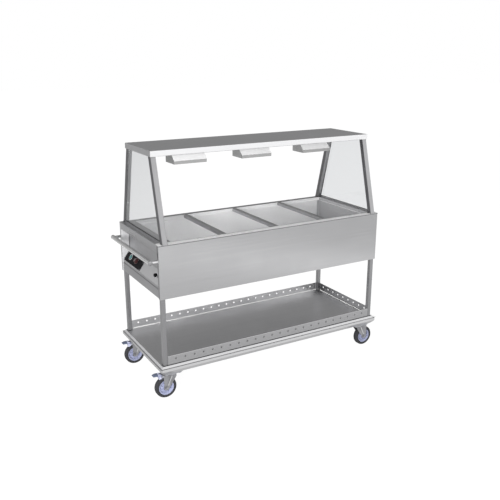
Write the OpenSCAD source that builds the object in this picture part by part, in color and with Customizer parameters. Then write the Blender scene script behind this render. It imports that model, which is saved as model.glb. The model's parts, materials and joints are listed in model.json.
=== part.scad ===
/* [Well] */
// Number of pan bays in the well
bays = 4; // [2:1:5]
// Clear length of one pan bay
bay_l = 310; // [290:1:330]
// Clear width of the well opening, front to rear
bay_w = 518; // [500:1:540]
// Width of a pan crossbar
bar_w = 30; // [24:1:40]
// Depth of the pan ledge below the deck
ledge_drop = 20; // [16:1:30]
// Width of the pan ledge
ledge_w = 10; // [8:1:14]
// Depth of the water tank below the deck
well_depth = 200; // [170:5:210]

/* [Body] */
// Deck between the left end of the body and the well
deck_left = 90.5; // [80:0.5:140]
// Deck between the well and the right end of the body
deck_right = 44.5; // [42:0.5:90]
// Deck in front of the well
front_ledge = 40; // [37:0.5:70]
// Deck behind the well
rear_ledge = 34; // [33:0.5:70]
// Height of the body's lower edge above the floor
body_z0 = 600; // [560:5:620]
// Height of the deck above the floor
deck_z = 900; // [880:5:960]
// Thickness of the folded steel sheet
sheet = 1.5; // [1:0.1:2]
// Inside radius of the sheet folds
fold_r = 1.5; // [1:0.5:2.5]
// Thickness of the two long panels over their folded ends
panel_t = 20; // [18:1:26]
// Depth of the folds inside the ends of the long panels
panel_fold = 47; // [40:1:48]
// Height of the deck's turned-down end flange
deck_flange_h = 42; // [30:1:50]

/* [Console] */
// Depth of the recess in the left end
recess_d = 48.5; // [45:0.5:60]
// Height where the sloping fascia leaves the recessed plate
fascia_top_z = 728; // [715:1:735]
// Height of the foot of the sloping fascia
fascia_foot_z = 668; // [660:1:672]
// Distance that the fascia's foot lies inside the body's end
fascia_foot_in = 5.5; // [3:0.5:10]
// Height of the upright lip below the fascia
lip_h = 26; // [20:1:30]
// Length of the black control plate
plate_l = 252; // [200:2:260]
// Height of the black control plate along the slope
plate_h = 56; // [48:1:60]
// Thickness of the control plate
plate_t = 2; // [1.5:0.5:3]
// Gap between the control plate and the rear end fold
plate_rear_gap = 4; // [2:1:20]
// Distance from the control plate's rear end to the lit switch
switch_in = 77; // [60:1:90]
// Diameter of the switch bezel
switch_d = 38; // [34:1:42]
// Distance from the lit switch to the thermostat knob
knob_pitch = 85; // [70:1:100]
// Diameter of the thermostat knob
knob_d = 38; // [30:1:42]
// Distance from the front end fold to the cable gland
gland_in = 96; // [50:1:170]
// Thread diameter of the cable gland
gland_d = 16; // [12:1:20]

/* [Push handle] */
// Diameter of the handle tube
handle_d = 25; // [20:1:32]
// Height of the handle's axis above the floor
handle_z = 812; // [780:1:830]
// Distance from the body's end to the handle's axis
handle_reach = 44.5; // [36:0.5:70]
// Distance that each handle end stands inside the body's depth
handle_end_in = -1; // [-4:1:6]
// Diameter of a handle bracket
bracket_d = 16; // [12:1:18]

/* [Gantry] */
// Height of the gantry shelf's top above the floor
gantry_z = 1374; // [1300:2:1450]
// Distance from each end of the body to the gantry shelf
gantry_end = 22; // [16:0.5:40]
// Depth of the gantry shelf
shelf_d = 374; // [330:2:420]
// Height of the gantry shelf's folded rim
shelf_h = 31; // [26:1:40]
// Width of the square post tube
post_w = 30; // [25:1:32]
// Wall of the square post tube
post_wall = 2; // [1.5:0.5:3]
// Distance that a post stands behind the shelf's long edge
post_set = 7; // [5:0.5:20]
// Thickness of a glass end panel
glass_t = 6; // [4:1:8]
// Height of the glazing channel
channel_h = 10.5; // [8:0.5:16]
// Width of the glazing channel
channel_w = 10; // [9:0.5:12]

/* [Heat lamps] */
// Number of heat lamps
lamps = 3; // [1:1:3]
// Distance between lamp centres
lamp_pitch = 424; // [300:2:440]
// Length of a lamp housing
lamp_l = 198; // [160:2:260]
// Width of a lamp housing
lamp_w = 116; // [100:2:130]
// Width of the flat top of a lamp housing
lamp_top_w = 69; // [40:1:90]
// Height of a lamp housing
lamp_h = 61; // [54:1:70]
// Height of the upright lip along the front of a lamp housing
lamp_lip = 18; // [14:1:24]
// Distance from the shelf's rim down to the lamp's lower edge
lamp_drop = 73; // [66:1:90]
// Diameter of a quartz heating tube
tube_d = 12; // [10:1:16]

/* [Base and shelf] */
// Distance that the base stands out past each end of the body
base_out_x = 16.5; // [12:0.5:30]
// Distance that the base stands out past each long side of the body
base_out_y = 16; // [12:0.5:30]
// Height of the lower shelf above the floor
shelf_z = 210; // [205:1:230]
// Height of the base, from the undersides of its castor channels to the shelf
base_h = 58; // [54:1:70]
// Height of the tray's lower edge above the undersides of the castor channels
tray_lift = 6; // [4:1:8]
// Height of the base's upright edge
edge_h = 15; // [10:1:20]
// Height of the upper slope of the base's edge
slope_h = 11; // [8:1:16]
// Width of the stepped top of the base's edge
slope_w = 16.5; // [12:0.5:20]
// Width of the level ledge at the foot of the upper slope
edge_ledge = 9; // [6:0.5:11]
// Width of the lower slope of the base's edge
under_w = 22.5; // [18:0.5:26]
// Radius of the base's corners
corner_r = 12; // [8:1:20]
// Height of the perforated guard
guard_h = 54; // [40:1:80]
// Width of the guard's foot flange
guard_foot = 14; // [10:1:20]
// Width of the guard's top hem
guard_hem = 5; // [4:0.5:8]
// Diameter of the guard's holes
hole_d = 12; // [8:1:16]
// Distance between the guard's holes
hole_pitch = 56.6; // [40:0.1:80]
// Height of the holes above the shelf
hole_h = 32; // [24:1:38]
// Width of the square leg tube
leg_w = 25; // [20:1:30]
// Wall of the square leg tube
leg_wall = 1.5; // [1.2:0.1:3]
// Distance from the end of the body to the legs
leg_in_x = 8; // [5:0.5:20]
// Distance from the long side of the body to the legs
leg_in_y = 6.5; // [3:0.5:12]

/* [Castors] */
// Diameter of a castor wheel
wheel_d = 125; // [120:1:126]
// Width of the tyre
wheel_w = 32; // [26:1:34]
// Diameter of the wheel's core
core_d = 90; // [80:1:100]
// Distance from the swivel axis to the axle
trail = 38; // [34:1:42]
// Distance from the end of the base to the swivel axis
castor_in_x = 85; // [80:1:140]
// Distance from the long side of the base to the swivel axis
castor_in_y = 67; // [66:1:90]
// Length of a castor's top plate along the body
top_plate_l = 100; // [94:1:110]
// Width of a castor's top plate
top_plate_w = 80; // [74:1:84]
// Thickness of a castor's top plate
top_plate_t = 4; // [3:0.5:4.5]
// Gap between the arms of a fork
fork_gap = 38; // [36:0.5:40]
// Thickness of a fork arm
fork_t = 3; // [2.5:0.5:4]
// Diameter of the axle
axle_d = 10; // [8:1:12]
// Diameter of the kingpin
kingpin_d = 12; // [10:1:14]

/* [Drain] */
// Bore of the drain pipe
drain_bore = 24; // [18:1:30]
// Distance from the well's right end to the drain
drain_in = 45; // [40:1:60]
// Length of the drain lever
lever_l = 95; // [70:1:120]

/* [Hidden] */
$fn = 48;

// Gap between parts that move past each other
gap = 0.3;
// Radial clearance of a pin in its bore
running = 0.1;
// Clearance of parts that drop into each other
drop_in = 0.5;
// Overshoot of a cutting shape past the surface that it opens
over = 1;

// The body is built up from its bays and ledges
well_l = bays * bay_l + (bays - 1) * bar_w;
body_l = deck_left + well_l + deck_right;
body_d = front_ledge + bay_w + rear_ledge;
well_x0 = -body_l / 2 + deck_left;
well_y0 = -body_d / 2 + front_ledge;
bar_pitch = bay_l + bar_w;
deck_under = deck_z - sheet;
deck_turn = sheet + fold_r + 1;
panel_top_z = deck_z - deck_turn;
ledge_z = deck_z - ledge_drop;
tank_z0 = deck_z - well_depth;
tank_lap = 9;
element_d = 8;
element_l = 130;
element_pitch = 76;
end_flange = 14;
lip_return = 22;
lip_lap = 10;
bar_rise = 2.5;
bar_ridge = 13;

// Console, with its slope measured from the fascia's top edge to its foot
recess_x = -body_l / 2 + recess_d;
fascia_foot_x = -body_l / 2 + fascia_foot_in;
fascia_run = fascia_foot_x - recess_x;
fascia_fall = fascia_top_z - fascia_foot_z;
fascia_len = norm([fascia_run, fascia_fall]);
fascia_tilt = atan2(fascia_fall, -fascia_run);
panel_in_y = body_d / 2 - panel_t;
console_w = 2 * (panel_in_y - gap);
plate_y = panel_in_y - plate_rear_gap - plate_l / 2;
switch_y = panel_in_y - plate_rear_gap - switch_in;
knob_y = switch_y - knob_pitch;
gland_y = gland_in - panel_in_y;
plate_drop = 42;
control_drop = 34;
plate_corner = 2;
hole_cut = 12;
knob_shaft_d = 6;
knob_shaft_l = 18;
shaft_bore_l = 20;
knob_h = 15;
grip_d = 26;
grip_taper = 2.6;
knob_skirt_h = 3;
knob_flutes = 16;
flute_d = 3;
pointer_w = 1.2;
rocker_pin_d = 3;
rocker_axis_h = 2;
rocker_h = 6;
rocker_foot = 0.8;
crown_r = 40;
belly_r = 46;
bezel_h = 4.5;
bezel_w = 4.6;
rocker_clear = 1.4;
rocker_well_d = switch_d - 2 * bezel_w;
rocker_d = rocker_well_d - 2 * rocker_clear;
housing_d = 24;
housing_wall = 2;
housing_l = 30;
housing_bore_l = 6;
control_bush_d = 12;
case_w = 38;
case_h = 36;
bulb_d = 14;
bulb_l = 8;
cut_clear = 0.5;
gland_bore = 8;
gland_bore_l = 6;
gland_nut_h = 5;
gland_tail = 12;
gland_cap_h = 9;
gland_cap_foot = 4;
gland_cap_top = 3;

// Handle
handle_x = -body_l / 2 - handle_reach;
handle_l = body_d - 2 * handle_end_in;
bracket_y = body_d / 2 - panel_t / 2 - 1;
cap_dome = 3;
cap_plug = 12;
handle_wall = 2;

// Gantry
shelf_l = body_l - 2 * gantry_end;
shelf_under = gantry_z - sheet;
rim_z = gantry_z - shelf_h;
post_x = shelf_l / 2 - sheet - fold_r;
tube_corner = 3;
post_foot_y = body_d / 2 - 0.5;
post_top_y = shelf_d / 2 - post_set;
lean = atan((post_foot_y - post_top_y) / (rim_z - deck_z));
post_cut = post_w / cos(lean);
glass_x = post_x - channel_w / 2;
shelf_return = 15;
return_clear = 8;
glass_top_gap = 3;
channel_fit = 0.1;

// Lamps
lamp_z = rim_z - lamp_drop;
lamp_top_z = lamp_z + lamp_h;
lamp_sheet = 1.2;
holder_l = 12;
holder_w = tube_d + 14;
holder_h = tube_d + 12;
tube_wall = 1.5;
reflector_r = 24;
bracket_strip = 20;
bracket_x = 60;
bracket_arm = 30;
lamp_axis_z = lamp_z + 15;

// Base
base_l = body_l + 2 * base_out_x;
base_w = body_d + 2 * base_out_y;
base_z0 = shelf_z - base_h;
tray_z0 = base_z0 + tray_lift;
leg_x = body_l / 2 - leg_in_x;
leg_y = body_d / 2 - leg_in_y;
base_lip = 6;
guard_sheet = 1.5;
hole_margin = 20;
channel_side = 2;
channel_end = 1;

// Castors
castor_x = base_l / 2 - castor_in_x;
castor_y = base_w / 2 - castor_in_y;
wheel_x = castor_x + trail;
axle_z = wheel_d / 2;
tyre_gap = 6;
crown_z0 = wheel_d + tyre_gap;
crown_t = 5;
plate_z0 = base_z0 - top_plate_t;
race_h = plate_z0 - crown_z0 - crown_t;
race_r = 27;
race_cap = 3.6;
race_seat = race_h - race_cap;
race_taper = 4;
king_nut_h = 8;
king_nut_d = kingpin_d + 9;
hub_d = 30;
hub_w = fork_gap - 2 * gap;
core_w = wheel_w - 3;
core_fit = 0.1;
tyre_shoulder = 8;
plate_corner_r = 8;
bolt_d = 8;
bolt_hole_d = 8.6;
bolt_x = top_plate_l / 2 - 12;
bolt_y = top_plate_w / 2 - 11;
channel_t = 3;
bolt_head_h = 5.3;
bolt_head_d = 15;
bolt_tail = 12;
bolt_nut_h = 6.5;
fork_back = 22;
fork_front = 54;
fork_rake = 8;
fork_foot_r = 15;
axle_head_h = 5;
axle_head_d = axle_d + 8;
rib_w = 9;
rib_t = 2;
rib_top_u = 4;
rib_foot_u = 31;
rib_foot_h = 13;
lug_u = trail + 22;
lug_z = crown_z0 + 5;
lug_r = 8;
pedal_pin_d = 6;
pedal_w = 28;
pedal_hub_r = 6.5;
pedal_reach = 52;
pedal_rise = 2.5;

// Drain
drain_x = well_x0 + well_l - ledge_w - drain_in;
drain_wall = 3;
valve_z = body_z0 - 38;
valve_d = 40;
valve_hex = 37.6;
valve_half = 22;
hex_h = 12;
stem_d = 10;
stem_boss_d = 18;
stem_l = 34;
stem_nut_d = 16;
stem_nut_h = 5;
lever_t = 4;
lever_w = 14;
lever_eye_d = 22;
drain_clear = 2;

// The trolley's place: the origin is on the floor below the middle of its bounding box
left_reach = max(-handle_x + handle_d / 2, base_l / 2);
right_reach = max(wheel_x + wheel_d / 2, base_l / 2);
body_cx = (left_reach - right_reach) / 2;

STEEL = [0.74, 0.75, 0.77];
DARK_STEEL = [0.55, 0.56, 0.58];
BRIGHT = [0.88, 0.89, 0.9];

function unit(v) = v / norm(v);
function left_of(v) = [-v[1], v[0]];
// Points of a fold of radius r at b, between a and c
function fold(a, b, c, r, n) =
    let (u = unit(a - b), v = unit(c - b), half = acos(u * v) / 2)
    let (start = b + u * r / tan(half), end = b + v * r / tan(half))
    let (centre = b + unit(u + v) * r / sin(half))
    let (a0 = atan2(start[1] - centre[1], start[0] - centre[0]))
    let (a1 = atan2(end[1] - centre[1], end[0] - centre[0]))
    let (turn = (a1 - a0 + 540) % 360 - 180)
    [for (i = [0:n]) centre + r * [cos(a0 + turn * i / n), sin(a0 + turn * i / n)]];
// A path with each inner corner rounded to radius r
function folded(p, r, n = 3) =
    [p[0], for (i = [1:len(p) - 2]) each fold(p[i - 1], p[i], p[i + 1], r, n), p[len(p) - 1]];
// The path's other side, t to its left
function beside(p, t) = [for (i = [0:len(p) - 1])
    let (before = left_of(unit(i == 0 ? p[1] - p[0] : p[i] - p[i - 1])))
    let (after = left_of(unit(i == len(p) - 1 ? p[i] - p[i - 1] : p[i + 1] - p[i])))
    let (mitre = unit(before + after))
    p[i] + mitre * t / (mitre * before)];
function reversed(p) = [for (i = [len(p) - 1:-1:0]) p[i]];

// Section of a folded sheet that follows a path, with its thickness on the left
module sheet_section(path, t = sheet, r = fold_r + sheet) {
    outer = folded(path, r);
    polygon(concat(outer, reversed(beside(outer, t))));
}

module along_x(l) {
    rotate([90, 0, 90]) linear_extrude(l, center = true) children();
}

module along_y(l) {
    rotate([90, 0, 0]) linear_extrude(l, center = true) children();
}

// A box between two corners
module block(low, high) {
    translate(low) cube(high - low);
}

module trolley() {
    translate([body_cx, 0, 0]) children();
}

// A rectangle with round corners, exact at any size
module rounded(l, w, r) {
    square([l - 2 * r, w], center = true);
    square([l, w - 2 * r], center = true);
    for (x = [-1, 1], y = [-1, 1]) translate([x * (l / 2 - r), y * (w / 2 - r)]) circle(r);
}

// Base: a sheet steel tray with a stepped bumper edge all round

module edge_profile(half, t) {
    edge_z = shelf_z - slope_h;
    side = beside([[0, tray_z0], [half - under_w, tray_z0], [half, edge_z - edge_h], [half, edge_z],
        [half - edge_ledge, edge_z], [half - slope_w, shelf_z], [0, shelf_z]], t);
    polygon(concat(side, [for (i = [len(side) - 2:-1:1]) [-side[i][0], side[i][1]]]));
}

module edge_solid(t) {
    intersection() {
        along_y(base_w) edge_profile(base_l / 2, t);
        along_x(base_l) edge_profile(base_w / 2, t);
        translate([0, 0, tray_z0]) linear_extrude(shelf_z - tray_z0) {
            rounded(base_l - 2 * t, base_w - 2 * t, corner_r - t);
        }
    }
}

module base_tray() {
    lip_l = base_l - 2 * (under_w + base_lip);
    lip_w = base_w - 2 * (under_w + base_lip);
    color(STEEL) trolley() difference() {
        edge_solid(0);
        edge_solid(sheet);
        block([-lip_l / 2, -lip_w / 2, tray_z0 - over], [lip_l / 2, lip_w / 2, tray_z0 + sheet + over]);
    }
}

// Two channels across the base, with the castors bolted under them
module castor_channels() {
    half_w = top_plate_l / 2 + channel_t + channel_side;
    half_l = base_w / 2 - under_w - base_lip - channel_end;
    color(DARK_STEEL) trolley() for (side = [-1, 1]) translate([side * castor_x, 0, 0]) difference() {
        block([-half_w, -half_l, base_z0], [half_w, half_l, shelf_z - sheet]);
        block([channel_t - half_w, -half_l - over, base_z0 + channel_t],
            [half_w - channel_t, half_l + over, shelf_z]);
        for (y = [-castor_y, castor_y]) translate([0, y, base_z0 - over]) {
            bolt_places() cylinder(d = bolt_hole_d, h = channel_t + 2 * over);
        }
    }
}

module bolt_places() {
    for (x = [-bolt_x, bolt_x], y = [-bolt_y, bolt_y]) translate([x, y, 0]) children();
}

// A guard: a perforated upstand with a foot flange and a top hem, standing in the XZ plane
module guard(l) {
    span = l - 2 * hole_margin - hole_d;
    count = floor(span / hole_pitch) + 1;
    difference() {
        along_x(l) sheet_section([[guard_hem, shelf_z + guard_h], [0, shelf_z + guard_h],
            [0, shelf_z], [guard_foot, shelf_z]], guard_sheet);
        for (i = [0:count - 1]) {
            translate([(i - (count - 1) / 2) * hole_pitch, -over, shelf_z + hole_h]) {
                rotate([-90, 0, 0]) cylinder(d = hole_d, h = guard_sheet + 2 * over, $fn = 20);
            }
        }
    }
}

module guard_front() {
    color(STEEL) trolley() translate([0, -leg_y, 0]) guard(2 * (leg_x - leg_w - gap));
}

module guard_rear() {
    color(STEEL) trolley() translate([0, leg_y, 0]) rotate(180) guard(2 * (leg_x - leg_w - gap));
}

module guard_right() {
    color(STEEL) trolley() translate([leg_x, 0, 0]) rotate(90) guard(2 * (leg_y - leg_w - gap));
}

// Section of a square tube with round corners
module square_tube(w, wall) {
    difference() {
        rounded(w, w, tube_corner);
        rounded(w - 2 * wall, w - 2 * wall, tube_corner / 2);
    }
}

module leg(side_x, side_y) {
    x = side_x * (leg_x - leg_w / 2);
    y = side_y * (leg_y - leg_w / 2);
    color(STEEL) trolley() translate([x, y, shelf_z]) linear_extrude(body_z0 - shelf_z) {
        square_tube(leg_w, leg_wall);
    }
}

module leg_front_left() {
    leg(-1, -1);
}

module leg_front_right() {
    leg(1, -1);
}

module leg_rear_left() {
    leg(-1, 1);
}

module leg_rear_right() {
    leg(1, 1);
}

// Body

// A long panel, folded back at both ends and along its top, with its face in the XZ plane
module long_panel() {
    half = body_l / 2;
    top_fold = panel_t - sheet - gap;
    end_z = body_z0 + sheet + gap;
    for (end = [-1, 1]) scale([end, 1, 1]) translate([0, 0, end_z]) linear_extrude(panel_top_z - end_z) {
        sheet_section([[0, 0], [half, 0], [half, panel_t], [half - panel_fold, panel_t]]);
    }
    block([-half + fold_r + sheet, 0, body_z0], [half - fold_r - sheet, sheet, panel_top_z]);
    block([-half + fold_r + sheet, sheet, panel_top_z - sheet],
        [half - fold_r - sheet, top_fold, panel_top_z]);
}

module front_panel() {
    color(STEEL) trolley() translate([0, -body_d / 2, 0]) long_panel();
}

module rear_panel() {
    color(STEEL) trolley() translate([0, body_d / 2, 0]) rotate(180) long_panel();
}

// The left end: a plate in the recess that runs down into the sloping fascia and its lip
module console_plate() {
    flange = [recess_x + end_flange, deck_under];
    top = [recess_x, deck_under];
    shoulder = [recess_x, fascia_top_z];
    foot = [fascia_foot_x, fascia_foot_z];
    lip = [fascia_foot_x, fascia_foot_z - lip_h];
    back = [fascia_foot_x + lip_return, fascia_foot_z - lip_h];
    color(STEEL) trolley() difference() {
        along_y(console_w) sheet_section([flange, top, shoulder, foot, lip, back]);
        control_holes();
        on_fascia(gland_y, control_drop) cylinder(d = gland_d + 2 * running, h = hole_cut, center = true);
    }
}

// Holes through the fascia and the control plate for the switch and the thermostat
module control_holes() {
    on_fascia(switch_y, control_drop) cylinder(d = housing_d + cut_clear, h = hole_cut, center = true);
    on_fascia(knob_y, control_drop) cylinder(d = control_bush_d + cut_clear, h = hole_cut, center = true);
}

// Places children on the fascia, drop below its top edge, with Z pointing out of it
module on_fascia(y, drop) {
    share = drop / fascia_len;
    translate([recess_x + share * fascia_run, y, fascia_top_z - share * fascia_fall]) {
        rotate([0, -fascia_tilt, 0]) children();
    }
}

module right_end_panel() {
    outer = body_l / 2 - sheet - gap;
    low = body_z0 + sheet;
    color(STEEL) trolley() along_y(console_w) sheet_section([[outer - end_flange, low], [outer, low],
        [outer, deck_under], [outer - end_flange, deck_under]]);
}

// The deck, with its edges folded down, its opening for the pans and a flange at each end
module top_deck() {
    color(STEEL) trolley() {
        difference() {
            hood(body_l, body_d, panel_top_z, deck_z, fold_r + sheet);
            hood(body_l - 2 * sheet, body_d - 2 * sheet, panel_top_z - over, deck_under, fold_r);
            block([well_x0, well_y0, panel_top_z], [well_x0 + well_l, well_y0 + bay_w, deck_z + over]);
        }
        for (end = [-1, 1]) scale([end, 1, 1]) {
            block([body_l / 2 - sheet, -console_w / 2, deck_z - deck_flange_h],
                [body_l / 2, console_w / 2, deck_z - fold_r - sheet]);
        }
    }
}

// A thin-walled open box, measured inside
module pan(x0, y0, z0, l, w, z1) {
    difference() {
        block([x0 - sheet, y0 - sheet, z0 - sheet], [x0 + l + sheet, y0 + w + sheet, z1]);
        block([x0, y0, z0], [x0 + l, y0 + w, z1 + over]);
    }
}

// The water tank: a deep pan below a stepped ledge that holds the pans and crossbars
module well_tank() {
    inner_l = well_l - 2 * ledge_w;
    inner_w = bay_w - 2 * ledge_w;
    color(BRIGHT) trolley() difference() {
        union() {
            pan(well_x0 + ledge_w, well_y0 + ledge_w, tank_z0, inner_l, inner_w, ledge_z);
            pan(well_x0, well_y0, ledge_z, well_l, bay_w, deck_under);
            translate([0, 0, deck_under - sheet]) linear_extrude(sheet) difference() {
                translate([well_x0 - tank_lap, well_y0 - tank_lap]) {
                    square([well_l + 2 * tank_lap, bay_w + 2 * tank_lap]);
                }
                translate([well_x0, well_y0]) square([well_l, bay_w]);
            }
        }
        block([well_x0 + ledge_w, well_y0 + ledge_w, tank_z0],
            [well_x0 + ledge_w + inner_l, well_y0 + ledge_w + inner_w, deck_z]);
        translate([drain_x, 0, tank_z0 - sheet - over]) cylinder(d = drain_bore, h = sheet + 2 * over);
    }
}

// A crossbar: an inverted channel with a raised ridge, resting on the ledges between two bays
module crossbar(i) {
    x = well_x0 + i * bar_pitch - bar_w / 2;
    foot = ledge_z + gap;
    top = deck_z - gap;
    shoulder = top - bar_rise;
    half = bar_w / 2;
    ridge = bar_ridge / 2;
    length = bay_w - 2 * drop_in;
    color(DARK_STEEL) trolley() translate([x, well_y0 + bay_w / 2, 0]) along_y(length) {
        sheet_section([[half, foot], [half, shoulder], [ridge + bar_rise, shoulder], [ridge, top],
            [-ridge, top], [-ridge - bar_rise, shoulder], [-half, shoulder], [-half, foot]]);
    }
}

module crossbar_left() {
    crossbar(1);
}

module crossbar_middle() {
    crossbar(2);
}

module crossbar_right() {
    crossbar(3);
}

// The cover under the body, turned up at the left end to lap over the console's lip
module bottom_cover() {
    right = body_l / 2 - sheet - gap;
    left = fascia_foot_x - sheet;
    turned_up = fascia_foot_z - lip_h + lip_lap;
    pipe_hole_d = drain_bore + 2 * drain_wall + 2 * drain_clear;
    color(STEEL) trolley() difference() {
        union() {
            along_y(console_w) {
                sheet_section([[left, turned_up], [left, body_z0], [right - lip_return, body_z0]]);
            }
            block([left + 2 * sheet + fold_r, -body_d / 2 + sheet, body_z0],
                [right, body_d / 2 - sheet, body_z0 + sheet]);
        }
        translate([drain_x, 0, body_z0 - over]) cylinder(d = pipe_hole_d, h = sheet + 2 * over);
    }
}

// A sheathed element bent into three bends under each bay
module element(l, pitch, d) {
    for (i = [0:3]) translate([-l / 2, (i - 1.5) * pitch, 0]) rotate([0, 90, 0]) {
        cylinder(d = d, h = l, $fn = 16);
    }
    for (i = [0:2]) {
        end = i % 2 == 0 ? 1 : -1;
        translate([end * l / 2, (i - 1) * pitch, 0]) rotate(-90 * end) {
            rotate_extrude(angle = 180, $fn = 32) translate([pitch / 2, 0]) circle(d = d, $fn = 16);
        }
    }
}

module heating_elements() {
    d = element_d;
    top = tank_z0 - sheet - gap / 2;
    color("dimgray") trolley() for (i = [0:bays - 1]) {
        translate([well_x0 + bay_l / 2 + i * bar_pitch, well_y0 + bay_w / 2, top - d / 2]) {
            element(element_l, element_pitch, d);
        }
    }
}

// The drain: a pipe from the tank's floor to a ball valve below the body
module drain_valve() {
    pipe_d = drain_bore + 2 * drain_wall;
    valve_end = valve_half + hex_h;
    color("goldenrod") trolley() translate([drain_x, 0, valve_z]) {
        difference() {
            union() {
                cylinder(d = pipe_d, h = tank_z0 - sheet - valve_z);
                translate([0, 0, -valve_half]) cylinder(d = valve_d, h = 2 * valve_half);
                for (z = [-valve_end, valve_half]) translate([0, 0, z]) {
                    cylinder(d = valve_hex, h = hex_h, $fn = 6);
                }
                rotate([90, 0, 0]) {
                    cylinder(d = stem_boss_d, h = stem_l - gap);
                    cylinder(d = stem_d, h = stem_l + lever_t + gap);
                    translate([0, 0, stem_l + lever_t + gap]) {
                        cylinder(d = stem_nut_d, h = stem_nut_h, $fn = 6);
                    }
                }
            }
            translate([0, 0, -valve_end - over]) {
                cylinder(d = drain_bore, h = tank_z0 - valve_z + valve_end + over);
            }
        }
        sphere(d = drain_bore + over);
    }
}

// The lever turns on the valve's stem, across the pipe when shut and along it when open
module drain_lever() {
    y0 = -(stem_l + lever_t);
    color("firebrick") trolley() translate([drain_x, 0, valve_z]) difference() {
        translate([0, y0, 0]) rotate([-90, 0, 0]) linear_extrude(lever_t) {
            circle(d = lever_eye_d);
            translate([-lever_l, -lever_w / 2]) square([lever_l, lever_w]);
            translate([-lever_l, 0]) circle(d = lever_w);
        }
        translate([0, y0 - over, 0]) rotate([-90, 0, 0]) {
            cylinder(d = stem_d + 2 * running, h = lever_t + 2 * over);
        }
    }
}

// Controls

module control_panel() {
    color([0.06, 0.06, 0.07]) trolley() difference() {
        on_fascia(plate_y, plate_drop) linear_extrude(plate_t) {
            rounded(plate_h, plate_l, plate_corner);
        }
        control_holes();
    }
}

module switch_housing() {
    color("dimgray") trolley() on_fascia(switch_y, control_drop) difference() {
        translate([0, 0, -housing_l]) cylinder(d = housing_d, h = housing_l + plate_t);
        translate([0, 0, -housing_bore_l]) {
            cylinder(d = housing_d - 2 * housing_wall, h = housing_bore_l + plate_t + over);
        }
    }
}

module switch_bezel() {
    color(BRIGHT) trolley() on_fascia(switch_y, control_drop) translate([0, 0, plate_t]) difference() {
        rotate_extrude() translate([rocker_well_d / 2, 0]) {
            square([bezel_w, bezel_h / 2]);
            translate([0, bezel_h / 2]) intersection() {
                circle(r = bezel_w);
                square([bezel_w, bezel_h / 2]);
            }
        }
        translate([0, 0, rocker_axis_h]) rotate([90, 0, 0]) {
            cylinder(d = rocker_pin_d + 2 * running, h = rocker_well_d + 3 * over, center = true, $fn = 24);
        }
    }
}

module power_rocker() {
    color([0.25, 0.62, 0.6]) trolley() on_fascia(switch_y, control_drop) translate([0, 0, plate_t]) {
        intersection() {
            cylinder(d = rocker_d, h = rocker_h);
            translate([0, 0, rocker_h - crown_r]) rotate([90, 0, 0]) {
                cylinder(r = crown_r, h = 2 * rocker_d, center = true, $fn = 180);
            }
            translate([0, 0, rocker_foot + belly_r]) rotate([90, 0, 0]) {
                cylinder(r = belly_r, h = 2 * rocker_d, center = true, $fn = 180);
            }
        }
        translate([0, 0, rocker_axis_h]) rotate([90, 0, 0]) {
            cylinder(d = rocker_pin_d, h = rocker_well_d + 2 * over, center = true, $fn = 24);
        }
    }
}

module thermostat() {
    color("dimgray") trolley() on_fascia(knob_y, control_drop) difference() {
        union() {
            block([-case_w / 2, -case_w / 2, -case_h], [case_w / 2, case_w / 2, -sheet - gap]);
            translate([0, 0, -sheet - gap]) cylinder(d = control_bush_d, h = plate_t + sheet + gap);
            translate([0, 0, -case_h - bulb_l]) cylinder(d = bulb_d, h = bulb_l + over);
        }
        translate([0, 0, -shaft_bore_l]) {
            cylinder(d = knob_shaft_d + 2 * running, h = shaft_bore_l + plate_t + over);
        }
    }
}

// The knob: a fluted grip with a pointer, on a skirt and a shaft
module thermostat_knob() {
    grip_h = knob_h - knob_skirt_h;
    flute_u = grip_d / 2 + flute_d / 5;
    color([0.35, 0.1, 0.1]) trolley() on_fascia(knob_y, control_drop) translate([0, 0, plate_t + gap]) {
        difference() {
            union() {
                cylinder(d = knob_d, h = knob_skirt_h);
                translate([0, 0, knob_skirt_h]) cylinder(d1 = grip_d, d2 = grip_d - grip_taper, h = grip_h);
            }
            for (i = [0:knob_flutes - 1]) rotate(i * 360 / knob_flutes) {
                translate([flute_u, 0, knob_skirt_h]) cylinder(d = flute_d, h = knob_h, $fn = 16);
            }
            translate([0, -pointer_w / 2, knob_h - over]) cube([grip_d, pointer_w, 2 * over]);
        }
        translate([0, 0, -knob_shaft_l]) cylinder(d = knob_shaft_d, h = knob_shaft_l);
    }
}

module cable_gland() {
    nut_d = gland_d + 8;
    color([0.08, 0.08, 0.09]) trolley() on_fascia(gland_y, control_drop) {
        difference() {
            union() {
                translate([0, 0, -gland_tail]) cylinder(d = gland_d, h = gland_tail + gland_nut_h);
                cylinder(d = nut_d, h = gland_nut_h, $fn = 6);
                translate([0, 0, gland_nut_h]) {
                    cylinder(d1 = gland_d + gland_cap_foot, d2 = gland_d - gland_cap_top, h = gland_cap_h);
                }
                translate([0, 0, -sheet - gland_nut_h]) cylinder(d = nut_d, h = gland_nut_h, $fn = 6);
            }
            translate([0, 0, gland_nut_h + gland_cap_h - gland_bore_l]) {
                cylinder(d = gland_bore, h = gland_bore_l + over);
            }
        }
    }
}

// Push handle across the left end
module push_handle() {
    r = handle_d / 2;
    bore = r - handle_wall;
    tube_l = handle_l - 2 * cap_dome;
    dome_r = (r * r + cap_dome * cap_dome) / (2 * cap_dome);
    color(BRIGHT) trolley() translate([handle_x, 0, handle_z]) rotate([90, 0, 0]) {
        difference() {
            cylinder(r = r, h = tube_l, center = true);
            cylinder(r = bore, h = tube_l + 2 * over, center = true);
        }
        for (end = [0, 180]) rotate([end, 0, 0]) translate([0, 0, tube_l / 2]) {
            translate([0, 0, -cap_plug]) cylinder(r = bore - running, h = cap_plug);
            intersection() {
                cylinder(r = r, h = cap_dome);
                translate([0, 0, cap_dome - dome_r]) sphere(r = dome_r, $fn = 96);
            }
        }
    }
}

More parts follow.
